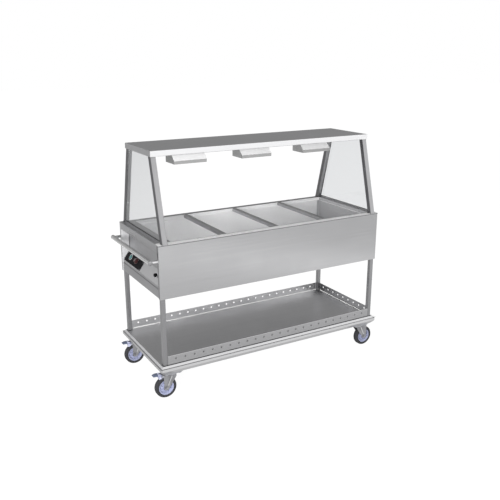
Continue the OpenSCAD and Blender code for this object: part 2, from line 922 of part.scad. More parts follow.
module handle_brackets() {
    color(BRIGHT) trolley() for (y = [-bracket_y, bracket_y]) difference() {
        translate([handle_x, y, handle_z]) rotate([0, 90, 0]) cylinder(d = bracket_d, h = handle_reach);
        translate([handle_x, y, handle_z]) rotate([90, 0, 0]) {
            cylinder(d = handle_d, h = 2 * bracket_d, center = true);
        }
    }
}

// Gantry

// A square tube that leans in from the deck to the shelf, cut level at both ends
module post(side_x, side_y) {
    x = side_x * (post_x - post_w / 2);
    color(STEEL) trolley() intersection() {
        scale([1, side_y, 1]) post_tube(x);
        block([-body_l, -body_d, deck_z], [body_l, body_d, shelf_under]);
    }
}

module post_tube(x) {
    translate([x, post_foot_y - post_cut / 2, deck_z]) rotate([lean, 0, 0]) {
        translate([0, 0, -post_w]) linear_extrude(gantry_z - deck_z + 2 * post_w) {
            square_tube(post_w, post_wall);
        }
    }
}

module post_front_left() {
    post(-1, -1);
}

module post_front_right() {
    post(1, -1);
}

module post_rear_left() {
    post(-1, 1);
}

module post_rear_right() {
    post(1, 1);
}

// The shelf: a folded tray, open below, with returns along its long sides
module gantry_shelf() {
    half_d = shelf_d / 2;
    return_l = 2 * (post_x - post_w - return_clear);
    color(DARK_STEEL) trolley() {
        for (side = [-1, 1]) scale([1, side, 1]) along_x(return_l) {
            sheet_section([[half_d - shelf_return, rim_z], [half_d, rim_z], [half_d, gantry_z],
                [0, gantry_z]]);
        }
        difference() {
            hood(shelf_l, shelf_d, rim_z, gantry_z, fold_r + sheet);
            hood(shelf_l - 2 * sheet, shelf_d - 2 * sheet, rim_z - over, shelf_under, fold_r);
            block([-return_l / 2, -half_d, rim_z - over], [return_l / 2, half_d, gantry_z + over]);
        }
    }
}

// A box with round upper edges
module hood(l, w, z0, z1, r) {
    intersection() {
        along_y(w) hood_section(l / 2, z0, z1, r);
        along_x(l) hood_section(w / 2, z0, z1, r);
    }
}

module hood_section(half, z0, z1, r) {
    polygon(folded([[half, z0], [half, z1], [-half, z1], [-half, z0]], r));
}

// Glass end panel between two posts, standing in its channel
module glass(side) {
    low = deck_z + sheet;
    high = shelf_under - glass_top_gap;
    color([0.85, 0.88, 0.9, 0.4]) trolley() translate([side * glass_x, 0, 0]) along_x(glass_t) {
        between_posts(low, high);
    }
}

// Distance from the centre plane to the inner face of a post at height z
function post_inner(z) = post_foot_y - post_cut - (z - deck_z) * tan(lean) - gap;

// Section of what fills the width between two leaning posts, from low to high
module between_posts(low, high) {
    polygon([[-post_inner(low), low], [post_inner(low), low], [post_inner(high), high],
        [-post_inner(high), high]]);
}

module glass_left() {
    glass(-1);
}

module glass_right() {
    glass(1);
}

module glazing_channels() {
    slot = glass_t / 2 + channel_fit;
    color(DARK_STEEL) trolley() for (side = [-1, 1]) translate([side * glass_x, 0, 0]) {
        difference() {
            along_x(channel_w) between_posts(deck_z, deck_z + channel_h);
            block([-slot, -body_d, deck_z + sheet], [slot, body_d, deck_z + channel_h + over]);
        }
    }
}

// Lamps under the shelf

module lamp_places() {
    for (i = [0:lamps - 1]) translate([(i - (lamps - 1) / 2) * lamp_pitch, 0, 0]) children();
}

// Section of a lamp housing, inset by t from the outside
module lamp_outline(t) {
    half = lamp_w / 2;
    polygon(beside([[half, lamp_z - t], [half, lamp_top_z], [half - lamp_top_w, lamp_top_z],
        [-half, lamp_z + lamp_lip], [-half, lamp_z - t]], t));
}

module lamp_housings() {
    color(BRIGHT) trolley() lamp_places() difference() {
        along_x(lamp_l) lamp_outline(0);
        along_x(lamp_l - 2 * lamp_sheet) lamp_outline(lamp_sheet);
    }
}

// A trough over each tube, with a lip along both sides
module lamp_reflectors() {
    length = lamp_l - 2 * lamp_sheet - 2 * holder_l - 4 * over;
    r = reflector_r;
    color("gainsboro") trolley() lamp_places() translate([0, 0, lamp_axis_z]) along_x(length) {
        difference() {
            circle(r);
            circle(r - lamp_sheet);
            translate([-2 * r, -2 * r]) square([4 * r, 2 * r]);
        }
        for (side = [-1, 1]) scale([side, 1]) translate([r - lamp_sheet, 0]) {
            square([lamp_w / 2 - r - gap, lamp_sheet]);
        }
    }
}

module lamp_tubes() {
    color([0.95, 0.9, 0.85]) trolley() lamp_places() translate([0, 0, lamp_axis_z]) rotate([0, 90, 0]) {
        difference() {
            cylinder(d = tube_d, h = lamp_l - 2 * lamp_sheet - holder_l, center = true);
            cylinder(d = tube_d - 2 * tube_wall, h = lamp_l, center = true);
        }
    }
}

module lamp_holders() {
    half = lamp_l / 2 - lamp_sheet;
    color("linen") trolley() lamp_places() for (end = [-1, 1]) difference() {
        translate([end * (half - holder_l / 2), 0, lamp_axis_z]) {
            cube([holder_l, holder_w, holder_h], center = true);
        }
        translate([end * (half - holder_l - over), 0, lamp_axis_z]) rotate([0, 90 * end, 0]) {
            cylinder(d = tube_d + 2 * running, h = holder_l / 2 + over + running);
        }
    }
}

// Two hat-shaped brackets hold each lamp under the shelf
module lamp_brackets() {
    mid = (lamp_w - lamp_top_w) / 2;
    arm = bracket_arm / 2;
    color(DARK_STEEL) trolley() lamp_places() for (end = [-1, 1]) {
        translate([end * bracket_x, mid, 0]) along_x(bracket_strip) {
            sheet_section([[arm + end_flange, shelf_under], [arm, shelf_under], [arm, lamp_top_z + sheet],
                [-arm, lamp_top_z + sheet], [-arm, shelf_under], [-arm - end_flange, shelf_under]]);
        }
    }
}

// Castors, each drawn with its swivel axis at X 0 and its wheel trailing towards +X

// Turns a castor so that its wheel trails towards the near end of the trolley
module at_castor(side_x, side_y) {
    trolley() translate([side_x * castor_x, side_y * castor_y, 0]) rotate(side_x < 0 ? 180 : 0) children();
}

module castor_plates() {
    king_z = crown_z0 - gap - king_nut_h;
    color(STEEL) for (side_x = [-1, 1], side_y = [-1, 1]) at_castor(side_x, side_y) {
        difference() {
            translate([0, 0, plate_z0]) linear_extrude(top_plate_t) {
                rounded(top_plate_l, top_plate_w, plate_corner_r);
            }
            translate([0, 0, plate_z0 - over]) bolt_places() {
                cylinder(d = bolt_hole_d, h = top_plate_t + 2 * over);
            }
        }
        translate([0, 0, plate_z0 - race_cap]) cylinder(r = race_r, h = race_cap);
        translate([0, 0, king_z]) cylinder(d = kingpin_d, h = plate_z0 - king_z);
        translate([0, 0, king_z]) cylinder(d = king_nut_d, h = king_nut_h, $fn = 6);
    }
}

module castor_bolts() {
    bolt_l = bolt_head_h + top_plate_t + channel_t + bolt_tail;
    color(BRIGHT) for (side_x = [-1, 1], side_y = [-1, 1]) at_castor(side_x, side_y) bolt_places() {
        translate([0, 0, plate_z0 - bolt_head_h]) {
            cylinder(d = bolt_head_d, h = bolt_head_h, $fn = 6);
            cylinder(d = bolt_d, h = bolt_l, $fn = 20);
        }
        translate([0, 0, base_z0 + channel_t]) cylinder(d = bolt_head_d, h = bolt_nut_h, $fn = 6);
    }
}

module fork_arm(braked) {
    back_lean = 20;
    front_lean = 12;
    lug_top = 5;
    difference() {
        union() {
            polygon([[-fork_back, crown_z0 + crown_t], [-fork_back, crown_z0 - fork_rake],
                [trail - fork_foot_r * cos(back_lean), axle_z - fork_foot_r * sin(back_lean)],
                [trail + fork_foot_r * cos(front_lean), axle_z - fork_foot_r * sin(front_lean)],
                [fork_front, crown_z0 - 2 * fork_rake], [fork_front, crown_z0 + crown_t]]);
            translate([trail, axle_z]) circle(fork_foot_r);
            if (braked) {
                translate([lug_u, lug_z]) circle(lug_r);
                translate([lug_u - 2 * lug_r, lug_z - lug_r]) square([2 * lug_r, lug_r + lug_top]);
            }
        }
        if (braked) translate([lug_u, lug_z]) circle(d = pedal_pin_d + 2 * running, $fn = 24);
    }
}

// A rib pressed out along a fork arm, from the crown to above the axle
module fork_rib() {
    top = crown_z0 - over;
    foot = axle_z + rib_foot_h;
    polygon([[rib_top_u - rib_w / 2, top], [rib_foot_u - rib_w / 2, foot], [rib_foot_u + rib_w / 2, foot],
        [rib_top_u + rib_w / 2, top]]);
}

// The pressed fork, its crown and race, and the axle bolt held in its arms
module fork(side_x, side_y, braked) {
    outside = fork_gap / 2 + fork_t;
    color(DARK_STEEL) at_castor(side_x, side_y) {
        difference() {
            union() {
                for (arm = [-1, 1]) scale([1, arm, 1]) {
                    translate([0, outside - fork_t / 2, 0]) along_y(fork_t) fork_arm(braked);
                    translate([0, outside, 0]) along_y(2 * rib_t) fork_rib();
                }
                block([-fork_back, -outside, crown_z0], [fork_front - crown_t, outside, crown_z0 + crown_t]);
                translate([0, 0, crown_z0]) cylinder(r = race_r + over, h = crown_t);
                translate([0, 0, crown_z0 + crown_t]) {
                    cylinder(r1 = race_r, r2 = race_r - race_taper, h = race_seat - gap);
                }
            }
            translate([0, 0, crown_z0 - over]) {
                cylinder(d = kingpin_d + 2 * running, h = crown_t + race_seat + 2 * over);
            }
        }
        translate([trail, 0, axle_z]) rotate([90, 0, 0]) {
            cylinder(d = axle_d, h = 2 * outside + axle_head_h, center = true);
            for (end = [-1, 1]) translate([0, 0, end * (outside + axle_head_h / 2)]) {
                cylinder(d = axle_head_d, h = axle_head_h, center = true, $fn = 6);
            }
        }
    }
}

// Turns a wheel's section about its axle
module on_axle(side_x, side_y) {
    at_castor(side_x, side_y) translate([trail, 0, axle_z]) rotate([90, 0, 0]) children();
}

module core(side_x, side_y) {
    r = core_d / 2;
    web = 5;
    boss = 8;
    rim = 7;
    slope = 6;
    color([0.69, 0.7, 0.84]) on_axle(side_x, side_y) difference() {
        union() {
            cylinder(d = hub_d, h = hub_w, center = true);
            for (face = [0, 180]) rotate([face, 0, 0]) rotate_extrude($fn = 96) {
                polygon([[0, -over], [0, web], [hub_d / 2, boss], [r - rim - slope, web],
                    [r - rim, core_w / 2 - over], [r - rim + over, core_w / 2], [r, core_w / 2],
                    [r, -over]]);
            }
        }
        cylinder(d = axle_d + 2 * running, h = hub_w + 2 * over, center = true);
    }
}

module tyre(side_x, side_y) {
    shoulder = tyre_shoulder;
    half = wheel_w / 2;
    bore = core_d / 2 + core_fit;
    color([0.09, 0.09, 0.1]) on_axle(side_x, side_y) rotate_extrude($fn = 96) {
        translate([bore, -half]) square([wheel_d / 2 - shoulder - bore, wheel_w]);
        translate([bore, shoulder - half]) square([wheel_d / 2 - bore, wheel_w - 2 * shoulder]);
        for (y = [-1, 1]) translate([wheel_d / 2 - shoulder, y * (half - shoulder)]) {
            circle(shoulder, $fn = 32);
        }
    }
}

// The brake: a pedal and shoe that turn on a pin through the fork's lugs
module brake(side_x, side_y) {
    top = plate_z0 + pedal_rise - lug_z;
    shoe = [[-4, -5], [4, -13], [17, -18], [19, -9], [20, 4]];
    blade = [[pedal_reach, top - 8], [pedal_reach + 1, top - 5], [pedal_reach - 14, top], [14, top]];
    color([0.62, 0.64, 0.76]) at_castor(side_x, side_y) translate([lug_u, 0, lug_z]) {
        along_y(pedal_w) {
            circle(pedal_hub_r);
            polygon(concat(shoe, blade, [[-3, 6]]));
        }
        rotate([90, 0, 0]) {
            cylinder(d = pedal_pin_d, h = fork_gap + 2 * fork_t + 2 * over, center = true, $fn = 24);
            cylinder(r = pedal_hub_r, h = fork_gap - 2 * gap, center = true);
        }
    }
}

module fork_front_left() {
    fork(-1, -1, true);
}

module fork_front_right() {
    fork(1, -1, false);
}

module fork_rear_left() {
    fork(-1, 1, true);
}

module fork_rear_right() {
    fork(1, 1, false);
}

module core_front_left() {
    core(-1, -1);
}

module core_front_right() {
    core(1, -1);
}

module core_rear_left() {
    core(-1, 1);
}

module core_rear_right() {
    core(1, 1);
}

module tyre_front_left() {
    tyre(-1, -1);
}

module tyre_front_right() {
    tyre(1, -1);
}

module tyre_rear_left() {
    tyre(-1, 1);
}

module tyre_rear_right() {
    tyre(1, 1);
}

module brake_front_left() {
    brake(-1, -1);
}

module brake_rear_left() {
    brake(-1, 1);
}

base_tray();
castor_channels();
guard_front();
guard_rear();
guard_right();
leg_front_left();
leg_front_right();
leg_rear_left();
leg_rear_right();
front_panel();
rear_panel();
console_plate();
right_end_panel();
top_deck();
well_tank();
bottom_cover();
heating_elements();
drain_valve();
thermostat();
switch_housing();
control_panel();
switch_bezel();
cable_gland();
push_handle();
handle_brackets();
post_front_left();
post_front_right();
post_rear_left();
post_rear_right();
gantry_shelf();
lamp_brackets();
glass_left();
glass_right();
glazing_channels();
lamp_housings();
lamp_reflectors();
lamp_tubes();
lamp_holders();
castor_plates();
castor_bolts();
crossbar_left();
crossbar_middle();
crossbar_right();
thermostat_knob();
power_rocker();
drain_lever();
fork_front_left();
fork_front_right();
fork_rear_left();
fork_rear_right();
core_front_left();
core_front_right();
core_rear_left();
core_rear_right();
tyre_front_left();
tyre_front_right();
tyre_rear_left();
tyre_rear_right();
brake_front_left();
brake_rear_left();
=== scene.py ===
"""The looks of a mobile bain marie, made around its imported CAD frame."""

import json
import logging
import math
from dataclasses import dataclass, replace
from enum import Enum
from typing import Callable, Sequence, Union

import bmesh
import bpy
from mathutils import Matrix, Vector

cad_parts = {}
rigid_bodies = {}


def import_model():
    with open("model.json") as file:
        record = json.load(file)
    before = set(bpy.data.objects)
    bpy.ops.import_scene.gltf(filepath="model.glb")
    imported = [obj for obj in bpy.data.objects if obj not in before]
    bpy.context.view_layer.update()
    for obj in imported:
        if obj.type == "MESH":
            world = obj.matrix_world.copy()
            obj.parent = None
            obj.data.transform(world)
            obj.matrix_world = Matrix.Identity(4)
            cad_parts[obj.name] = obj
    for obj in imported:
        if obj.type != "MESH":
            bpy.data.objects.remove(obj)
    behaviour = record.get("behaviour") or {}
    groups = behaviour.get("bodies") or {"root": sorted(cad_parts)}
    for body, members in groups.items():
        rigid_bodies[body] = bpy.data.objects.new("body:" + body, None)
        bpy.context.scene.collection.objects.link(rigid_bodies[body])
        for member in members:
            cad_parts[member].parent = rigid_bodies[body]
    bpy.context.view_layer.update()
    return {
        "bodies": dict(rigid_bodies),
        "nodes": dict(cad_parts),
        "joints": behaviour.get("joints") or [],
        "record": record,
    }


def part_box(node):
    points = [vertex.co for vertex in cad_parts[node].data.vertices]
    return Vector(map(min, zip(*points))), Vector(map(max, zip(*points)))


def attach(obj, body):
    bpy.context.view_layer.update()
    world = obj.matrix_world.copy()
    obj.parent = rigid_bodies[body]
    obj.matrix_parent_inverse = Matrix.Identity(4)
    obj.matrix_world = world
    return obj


LOG = logging.getLogger("bain_marie")
BODY_X = 0.0125
MM = 0.001
TROLLEY = "trolley"
WHITE = (1.0, 1.0, 1.0, 1.0)
ORIGIN = (0.0, 0.0, 0.0)
AXIS_X = (1.0, 0.0, 0.0)
AXIS_Y = (0.0, 1.0, 0.0)
AXIS_Z = (0.0, 0.0, 1.0)
FRONT = (0.0, -1.0, 0.0)
LEFT = (-1.0, 0.0, 0.0)
FASCIA_OUT = (-0.813, 0.0, 0.583)
LAMP_FACE_OUT = (0.0, -0.675, 0.738)
SIDES = (-1, 1)
SOFTEN_FROM = math.radians(40.0)
SHARP_FROM = math.radians(38.0)
WIRE_SIDES = 8
WELD_DISTANCE = 1e-4
PATCH_SCALE = 14.0
GRAIN_BUMP = 0.35
COAT_ROUGHNESS = 0.12
TONE = 0.14
BROAD_SHARE = 0.12
NICK_STRETCH = (260.0, 35.0, 150.0)
NICK_TURN = (0.3, 0.5, 0.9)

Colour = tuple[float, float, float]
Pair = tuple[float, float]
Point = Sequence[float]
Profile = Sequence[Pair]


class Grain(Enum):
    """The way that the brushing runs, as stretch factors along X, Y and Z."""

    ALONG_X = (1.4, 190.0, 190.0)
    ALONG_Y = (190.0, 1.4, 190.0)
    ALONG_Z = (190.0, 190.0, 1.4)


def operator(operation: str, swapped: bool = False) -> Callable[["Sock", "Operand"], "Sock"]:
    """Makes the method of one operator.

    Args:
        operation: The Math node's operation.
        swapped: Whether the method's own socket goes second.

    Returns:
        A method that adds the node and returns its output.
    """
    def method(own: "Sock", other: "Operand") -> "Sock":
        """Returns what the operation gives for the socket and another operand."""
        first, second = (other, own) if swapped else (own, other)
        return own.graph.node("ShaderNodeMath", {"operation": operation}, {0: first, 1: second})

    return method


class Sock:
    """A shader socket that takes part in Python expressions."""

    __add__ = operator("ADD")
    __radd__ = operator("ADD", swapped=True)
    __sub__ = operator("SUBTRACT")
    __rsub__ = operator("SUBTRACT", swapped=True)
    __mul__ = operator("MULTIPLY")
    __rmul__ = operator("MULTIPLY", swapped=True)
    __truediv__ = operator("DIVIDE")
    most = operator("MAXIMUM")

    def __init__(self, graph: "Graph", socket: bpy.types.NodeSocket) -> None:
        """Keeps the socket and the graph that new nodes go into."""
        self.graph = graph
        self.socket = socket

    def size(self) -> "Sock":
        """Returns self without its sign."""
        return operator("ABSOLUTE")(self, 0.0)

    def ramp(self, low: float, high: float, start: float = 0.0, end: float = 1.0) -> "Sock":
        """Maps low..high smoothly to start..end, clamped.

        Args:
            low: The input that gives start.
            high: The input that gives end.
            start: The output at low.
            end: The output at high.

        Returns:
            The mapped socket.
        """
        settings = {"interpolation_type": "SMOOTHSTEP"}
        sockets = {"Value": self, "From Min": low, "From Max": high, "To Min": start, "To Max": end}
        return self.graph.node("ShaderNodeMapRange", settings, sockets)


Operand = Union[Sock, float]


class Graph:
    """The nodes of one material or of the world."""

    def __init__(self, owner: Union[bpy.types.Material, bpy.types.World]) -> None:
        """Turns the owner's nodes on and empties them."""
        owner.use_nodes = True
        self.tree = owner.node_tree
        self.tree.nodes.clear()

    def node(self, kind: str, settings: dict | None = None, sockets: dict | None = None,
             out: int | str = 0) -> Sock:
        """Adds a node.

        Args:
            kind: The node's type.
            settings: Its properties, set before its sockets.
            sockets: Values or links by socket name or number.
            out: The output to return.

        Returns:
            The chosen output.
        """
        made = self.tree.nodes.new(kind)
        for name, value in (settings or {}).items():
            setattr(made, name, value)
        for name, value in (sockets or {}).items():
            if isinstance(value, Sock):
                self.tree.links.new(value.socket, made.inputs[name])
            else:
                made.inputs[name].default_value = value
        return Sock(self, made.outputs[out] if made.outputs else made.inputs[0])

    def split(self, way: Sock) -> tuple[Sock, Sock, Sock]:
        """Returns a vector's X, Y and Z."""
        parts = self.node("ShaderNodeSeparateXYZ", {}, {0: way}).socket.node.outputs
        return Sock(self, parts["X"]), Sock(self, parts["Y"]), Sock(self, parts["Z"])

    def coordinates(self, kind: str) -> Sock:
        """Returns one kind of texture coordinates."""
        return self.node("ShaderNodeTexCoord", out=kind)

    def measure(self, operation: str, first: Sock, second: Point = ORIGIN) -> Sock:
        """Returns the number that a vector operation gives."""
        return self.node("ShaderNodeVectorMath", {"operation": operation}, {0: first, 1: second}, "Value")

    def place(self, scale: Point = (1, 1, 1), turn: Point = ORIGIN, shift: Point = ORIGIN) -> Sock:
        """Returns the object's own coordinates, moved by shift, turned and stretched."""
        sockets = {"Vector": self.coordinates("Object"), "Location": shift, "Rotation": turn, "Scale": scale}
        return self.node("ShaderNodeMapping", {"vector_type": "POINT"}, sockets)

    def noise(self, where: Sock, scale: float, detail: float = 3.0, rough: float = 0.5) -> Sock:
        """Returns a noise of about 0 to 1 at the given coordinates."""
        sockets = {"Vector": where, "Scale": scale, "Detail": detail, "Roughness": rough}
        return self.node("ShaderNodeTexNoise", {}, sockets)

    def mix(self, factor: Operand, low: Union[Sock, Colour], high: Union[Sock, Colour]) -> Sock:
        """Mixes two colours by factor.

        Args:
            factor: 0 for low and 1 for high.
            low: The first colour.
            high: The second colour.

        Returns:
            The mixed colour.
        """
        first, second = (end if isinstance(end, Sock) else (*end, 1.0) for end in (low, high))
        return self.node("ShaderNodeMix", {"data_type": "RGBA"}, {0: factor, 6: first, 7: second}, 2)

    def bump(self, height: Sock, strength: float, distance: float) -> Sock:
        """Returns a normal that follows a height."""
        sockets = {"Strength": strength, "Distance": distance, "Height": height}
        return self.node("ShaderNodeBump", {}, sockets)

    def output(self, surface: Sock, kind: str = "ShaderNodeOutputMaterial") -> None:
        """Links a shader to the tree's output."""
        self.node(kind, {}, {"Surface": surface})


def cool(grey: float) -> Colour:
    """Returns a grey with a faint blue cast."""
    return grey, grey, grey + 0.01


def scaled(colour: Colour, factor: float) -> Colour:
    """Returns a colour that is darker or lighter by a factor, and at most white."""
    return tuple(min(1.0, c * factor) for c in colour)


@dataclass(frozen=True)
class Finish:
    """A smooth or lightly grained finish."""

    name: str
    colour: Colour
    roughness: float = 0.45
    metallic: float = 0.0
    speckle: float = 900.0
    depth: float = 4e-5
    shade: float = 0.12
    coat: float = 0.0
    glow: float = 0.0
    sheen_level: float = 0.5
    slot: str = "stainless_sheet"

    def material(self) -> bpy.types.Material:
        """Returns the finish's material, made once."""
        found = bpy.data.materials.get(self.name)
        if found:
            return found
        made = bpy.data.materials.new(self.name)
        graph = Graph(made)
        graph.output(self.surface(graph))
        return made

    def surface(self, graph: Graph) -> Sock:
        """Returns the shader of a moulded or cast surface: soiling in patches and a fine grain."""
        patches = graph.noise(graph.place(), PATCH_SCALE, 4.0)
        grains = graph.noise(graph.place(), self.speckle, 2.0)
        dirt = patches.ramp(0.42, 0.72)
        colour = graph.mix(dirt * 0.8 + grains * 0.2, self.colour, scaled(self.colour, 1 - 2 * self.shade))
        rough = patches * 0.16 + (self.roughness - 0.08)
        return self.principled(graph, {"Base Color": colour, "Roughness": rough,
                                       "Normal": graph.bump(grains, GRAIN_BUMP, self.depth)})

    def principled(self, graph: Graph, sockets: dict) -> Sock:
        """Returns a Principled shader with the finish's own constants and the given sockets."""
        fixed = {"Metallic": self.metallic, "Coat Weight": self.coat, "Coat Roughness": COAT_ROUGHNESS,
                 "Specular IOR Level": self.sheen_level}
        if self.glow:
            fixed["Emission Strength"] = self.glow
        return graph.node("ShaderNodeBsdfPrincipled", {}, {**fixed, **sockets})


@dataclass(frozen=True)
class Facing:
    """Painted light or shade: a paler or darker copy of the surface, mostly a paler and more matt one, on
    the faces that look one way.
    """

    way: Point
    colour: Colour
    metallic: float
    start: float = 0.75
    end: float = 0.95

    def share(self, graph: Graph) -> Sock:
        """Returns 1 on the faces that look along the way and 0 on the others."""
        return graph.measure("DOT_PRODUCT", graph.coordinates("Normal"), self.way).ramp(self.start, self.end)


@dataclass(frozen=True)
class Beyond(Facing):
    """A painted highlight: a paler surface on the level faces past a distance from the middle, along one
    way.
    """

    def share(self, graph: Graph) -> Sock:
        """Returns 1 on level faces past the end distance and 0 before the start."""
        far = graph.measure("DOT_PRODUCT", graph.place(), self.way)
        _, _, upward = graph.split(graph.coordinates("Normal"))
        return far.ramp(self.start, self.end) * upward.ramp(0.8, 0.98)


@dataclass(frozen=True)
class BrushedSteel(Finish):
    """Stainless sheet with a long brushed grain, faint smudges and a few cross scratches."""

    metallic: float = 1.0
    roughness: float = 0.34
    grain: Grain = Grain.ALONG_X
    streak: float = 0.10
    wear: float = 1.0
    # painted light or shade: a paler or darker copy of the steel on the faces that look one way
    bare: Facing | None = None

    def surface(self, graph: Graph) -> Sock:
        """Returns the shader: streaks along the grain, broad smudges and sparse scratches."""
        fine = graph.noise(graph.place(self.grain.value), 6.0, 4.0, 0.6)
        broad = graph.noise(graph.place([BROAD_SHARE * s for s in self.grain.value]), 3.0, 2.0)
        smudge = graph.noise(graph.place(), 5.0, 5.0, 0.62)
        nicks = graph.noise(graph.place(NICK_STRETCH, NICK_TURN), 4.0, 2.0).ramp(0.74, 0.8)
        bright = (fine - 0.5) * self.streak + (broad - 0.5) * 0.08 - nicks * 0.05 + 1.0
        low, high = scaled(self.colour, 1 - TONE), scaled(self.colour, 1 + TONE)
        colour = graph.mix((bright - (1 - TONE)) / (2 * TONE), low, high)
        spread = 0.06 * self.wear
        rough = smudge.ramp(0.35, 0.7, self.roughness - spread, self.roughness + spread) + fine * 0.06
        normal = graph.bump(fine + nicks * 0.6, 0.16 * self.wear, 5e-5)
        sockets = {"Base Color": colour, "Roughness": rough, "Normal": normal}
        # paint the light or shade of the faces that look one way into the colour and metallic
        if self.bare:
            share = self.bare.share(graph)
            sockets["Base Color"] = graph.mix(share, colour, self.bare.colour)
            sockets["Metallic"] = share * (self.bare.metallic - self.metallic) + self.metallic
        return self.principled(graph, sockets)


@dataclass(frozen=True)
class Glazing(Finish):
    """Clear sheet glass or quartz with a faint film of wiping marks."""

    through: float = 1.0
    ior: float = 1.45

    def surface(self, graph: Graph) -> Sock:
        """Returns the shader: a tinted clear body with a slightly uneven polish."""
        film = graph.noise(graph.place((2, 2, 9), (0.5, 0.2, 0)), 3.0, 4.0)
        rough = film.ramp(0.45, 0.8, self.roughness, self.roughness + 0.04)
        colour = graph.mix(film, self.colour, scaled(self.colour, 0.985))
        return self.principled(graph, {"Base Color": colour, "Roughness": rough, "IOR": self.ior,
                                       "Transmission Weight": self.through})


@dataclass(frozen=True)
class LitPlastic(Finish):
    """Translucent plastic lit from inside, lighter in the middle."""

    centre: Point = ORIGIN
    reach: float = 0.015
    core: Colour = (0.05, 0.17, 0.17)

    def surface(self, graph: Graph) -> Sock:
        """Returns the shader: the light falls off from the lamp behind the middle."""
        away = graph.place(shift=[-c for c in self.centre])
        fall = graph.measure("LENGTH", away).ramp(self.reach * 0.2, self.reach)
        ribs = graph.noise(graph.place(), 1200.0, 1.0)
        colour = graph.mix(fall, self.core, self.colour)
        return self.principled(graph, {"Base Color": colour, "Emission Color": colour,
                                       "Roughness": ribs * 0.1 + self.roughness})


@dataclass(frozen=True)
class TippedPlastic(Finish):
    """Moulded plastic with a darker rubber tip beyond a distance from the centre plane."""

    edge: float = 0.0
    tip: Colour = (0.1, 0.12, 0.18)

    def surface(self, graph: Graph) -> Sock:
        """Returns the shader: the moulding's colour, and the rubber's past the edge."""
        across, _, _ = graph.split(graph.place())
        past = across.size().ramp(self.edge - 0.0004, self.edge + 0.0004)
        grains = graph.noise(graph.place(), self.speckle, 2.0)
        dirt = graph.noise(graph.place(), 30.0, 4.0).ramp(0.45, 0.75)
        clean = graph.mix(past, self.colour, self.tip)
        colour = graph.mix(dirt * 0.5 + grains * 0.2, clean, scaled(self.tip, 0.6))
        return self.principled(graph, {"Base Color": colour, "Roughness": past * 0.15 + self.roughness,
                                       "Normal": graph.bump(grains, GRAIN_BUMP, self.depth)})


SHEET = BrushedSteel("stainless_sheet_long", cool(0.62))
SHEET_CROSS = replace(SHEET, name="stainless_sheet_cross", grain=Grain.ALONG_Y)
SHEET_UP = replace(SHEET, name="stainless_sheet_upright", grain=Grain.ALONG_Z)


def steel(name: str, grey: float, base: BrushedSteel = SHEET, **changes: object) -> BrushedSteel:
    """Returns a steel like base, with another name and grey and the given changes."""
    return replace(base, name=name, colour=cool(grey), **changes)


# Painted light and shade: the sheet parts below are all one brushed stainless; their greys differ so that
# each part shows as lit or as shaded as it stands.
# painted shade: the panel's faces that look left are a darker copy
PANEL = steel("stainless_front_panel", 0.585, roughness=0.19, wear=0.35, bare=Facing(LEFT, cool(0.3), 1.0))
# painted light: the faces that look out of the fascia are a paler copy
PLATE = steel("stainless_console", 0.44, SHEET_CROSS, bare=Facing(FASCIA_OUT, cool(0.54), 1.0, 0.96, 0.99))
# painted highlight: the level faces at the deck's front are a paler, more matt copy
DECK = steel("stainless_deck", 0.52, roughness=0.3,
             bare=Beyond(FRONT, (0.86, 0.86, 0.86), 0.3, 0.25, 0.2506))
CHANNEL = steel("stainless_glazing_channel", 0.41, SHEET_CROSS)
# painted light and shade: the guards are one steel, set paler at the rear and darker at the end
RAIL = steel("stainless_guard", 0.54)
REAR_RAIL = steel("stainless_rear_guard", 0.7)
END_RAIL = steel("stainless_end_guard", 0.38, SHEET_CROSS)
# painted light: the tray's faces that look to the front are a paler copy
TRAY = steel("stainless_base_tray", 0.67, bare=Facing(FRONT, cool(0.86), 1.0, 0.97, 0.99))
# painted reflection: the shelf's faces that look to the front are a paler copy
SHELF = steel("stainless_top_shelf", 0.62, bare=Facing(FRONT, cool(0.93), 0.9))
# painted light: the faces that look to the front are a matt copy, which the lamps light paler
BACK = steel("stainless_rear_panel", 0.66, bare=Facing(FRONT, cool(0.6), 0.15))
# painted shade: the posts' faces that look left are a darker copy
POST = steel("stainless_post", 0.45, SHEET_UP, roughness=0.42, bare=Facing(LEFT, cool(0.2), 1.0))
LEG = steel("stainless_leg", 0.39, SHEET_UP)
BAR = steel("stainless_bar", 0.46, SHEET_CROSS, roughness=0.4)
# painted light: the tank is nearly white and less metallic so that it shows bright; painted shade: its faces
# that look left are darker
TANK = steel("stainless_tank", 0.95, SHEET_CROSS, roughness=0.5, metallic=0.4,
             bare=Facing(LEFT, cool(0.5), 0.7))
# painted light: the housing's faces that look forward and up are a white, matt copy
HOUSING = replace(SHEET, name="satin_lamp_housing", colour=(0.46, 0.46, 0.46), roughness=0.4, metallic=0.8,
                  bare=Facing(LAMP_FACE_OUT, (0.98, 0.98, 0.98), 0.0))
POLISHED = BrushedSteel("polished_tube", cool(0.8), roughness=0.16, grain=Grain.ALONG_Y, streak=0.04,
                        slot="polished_steel")
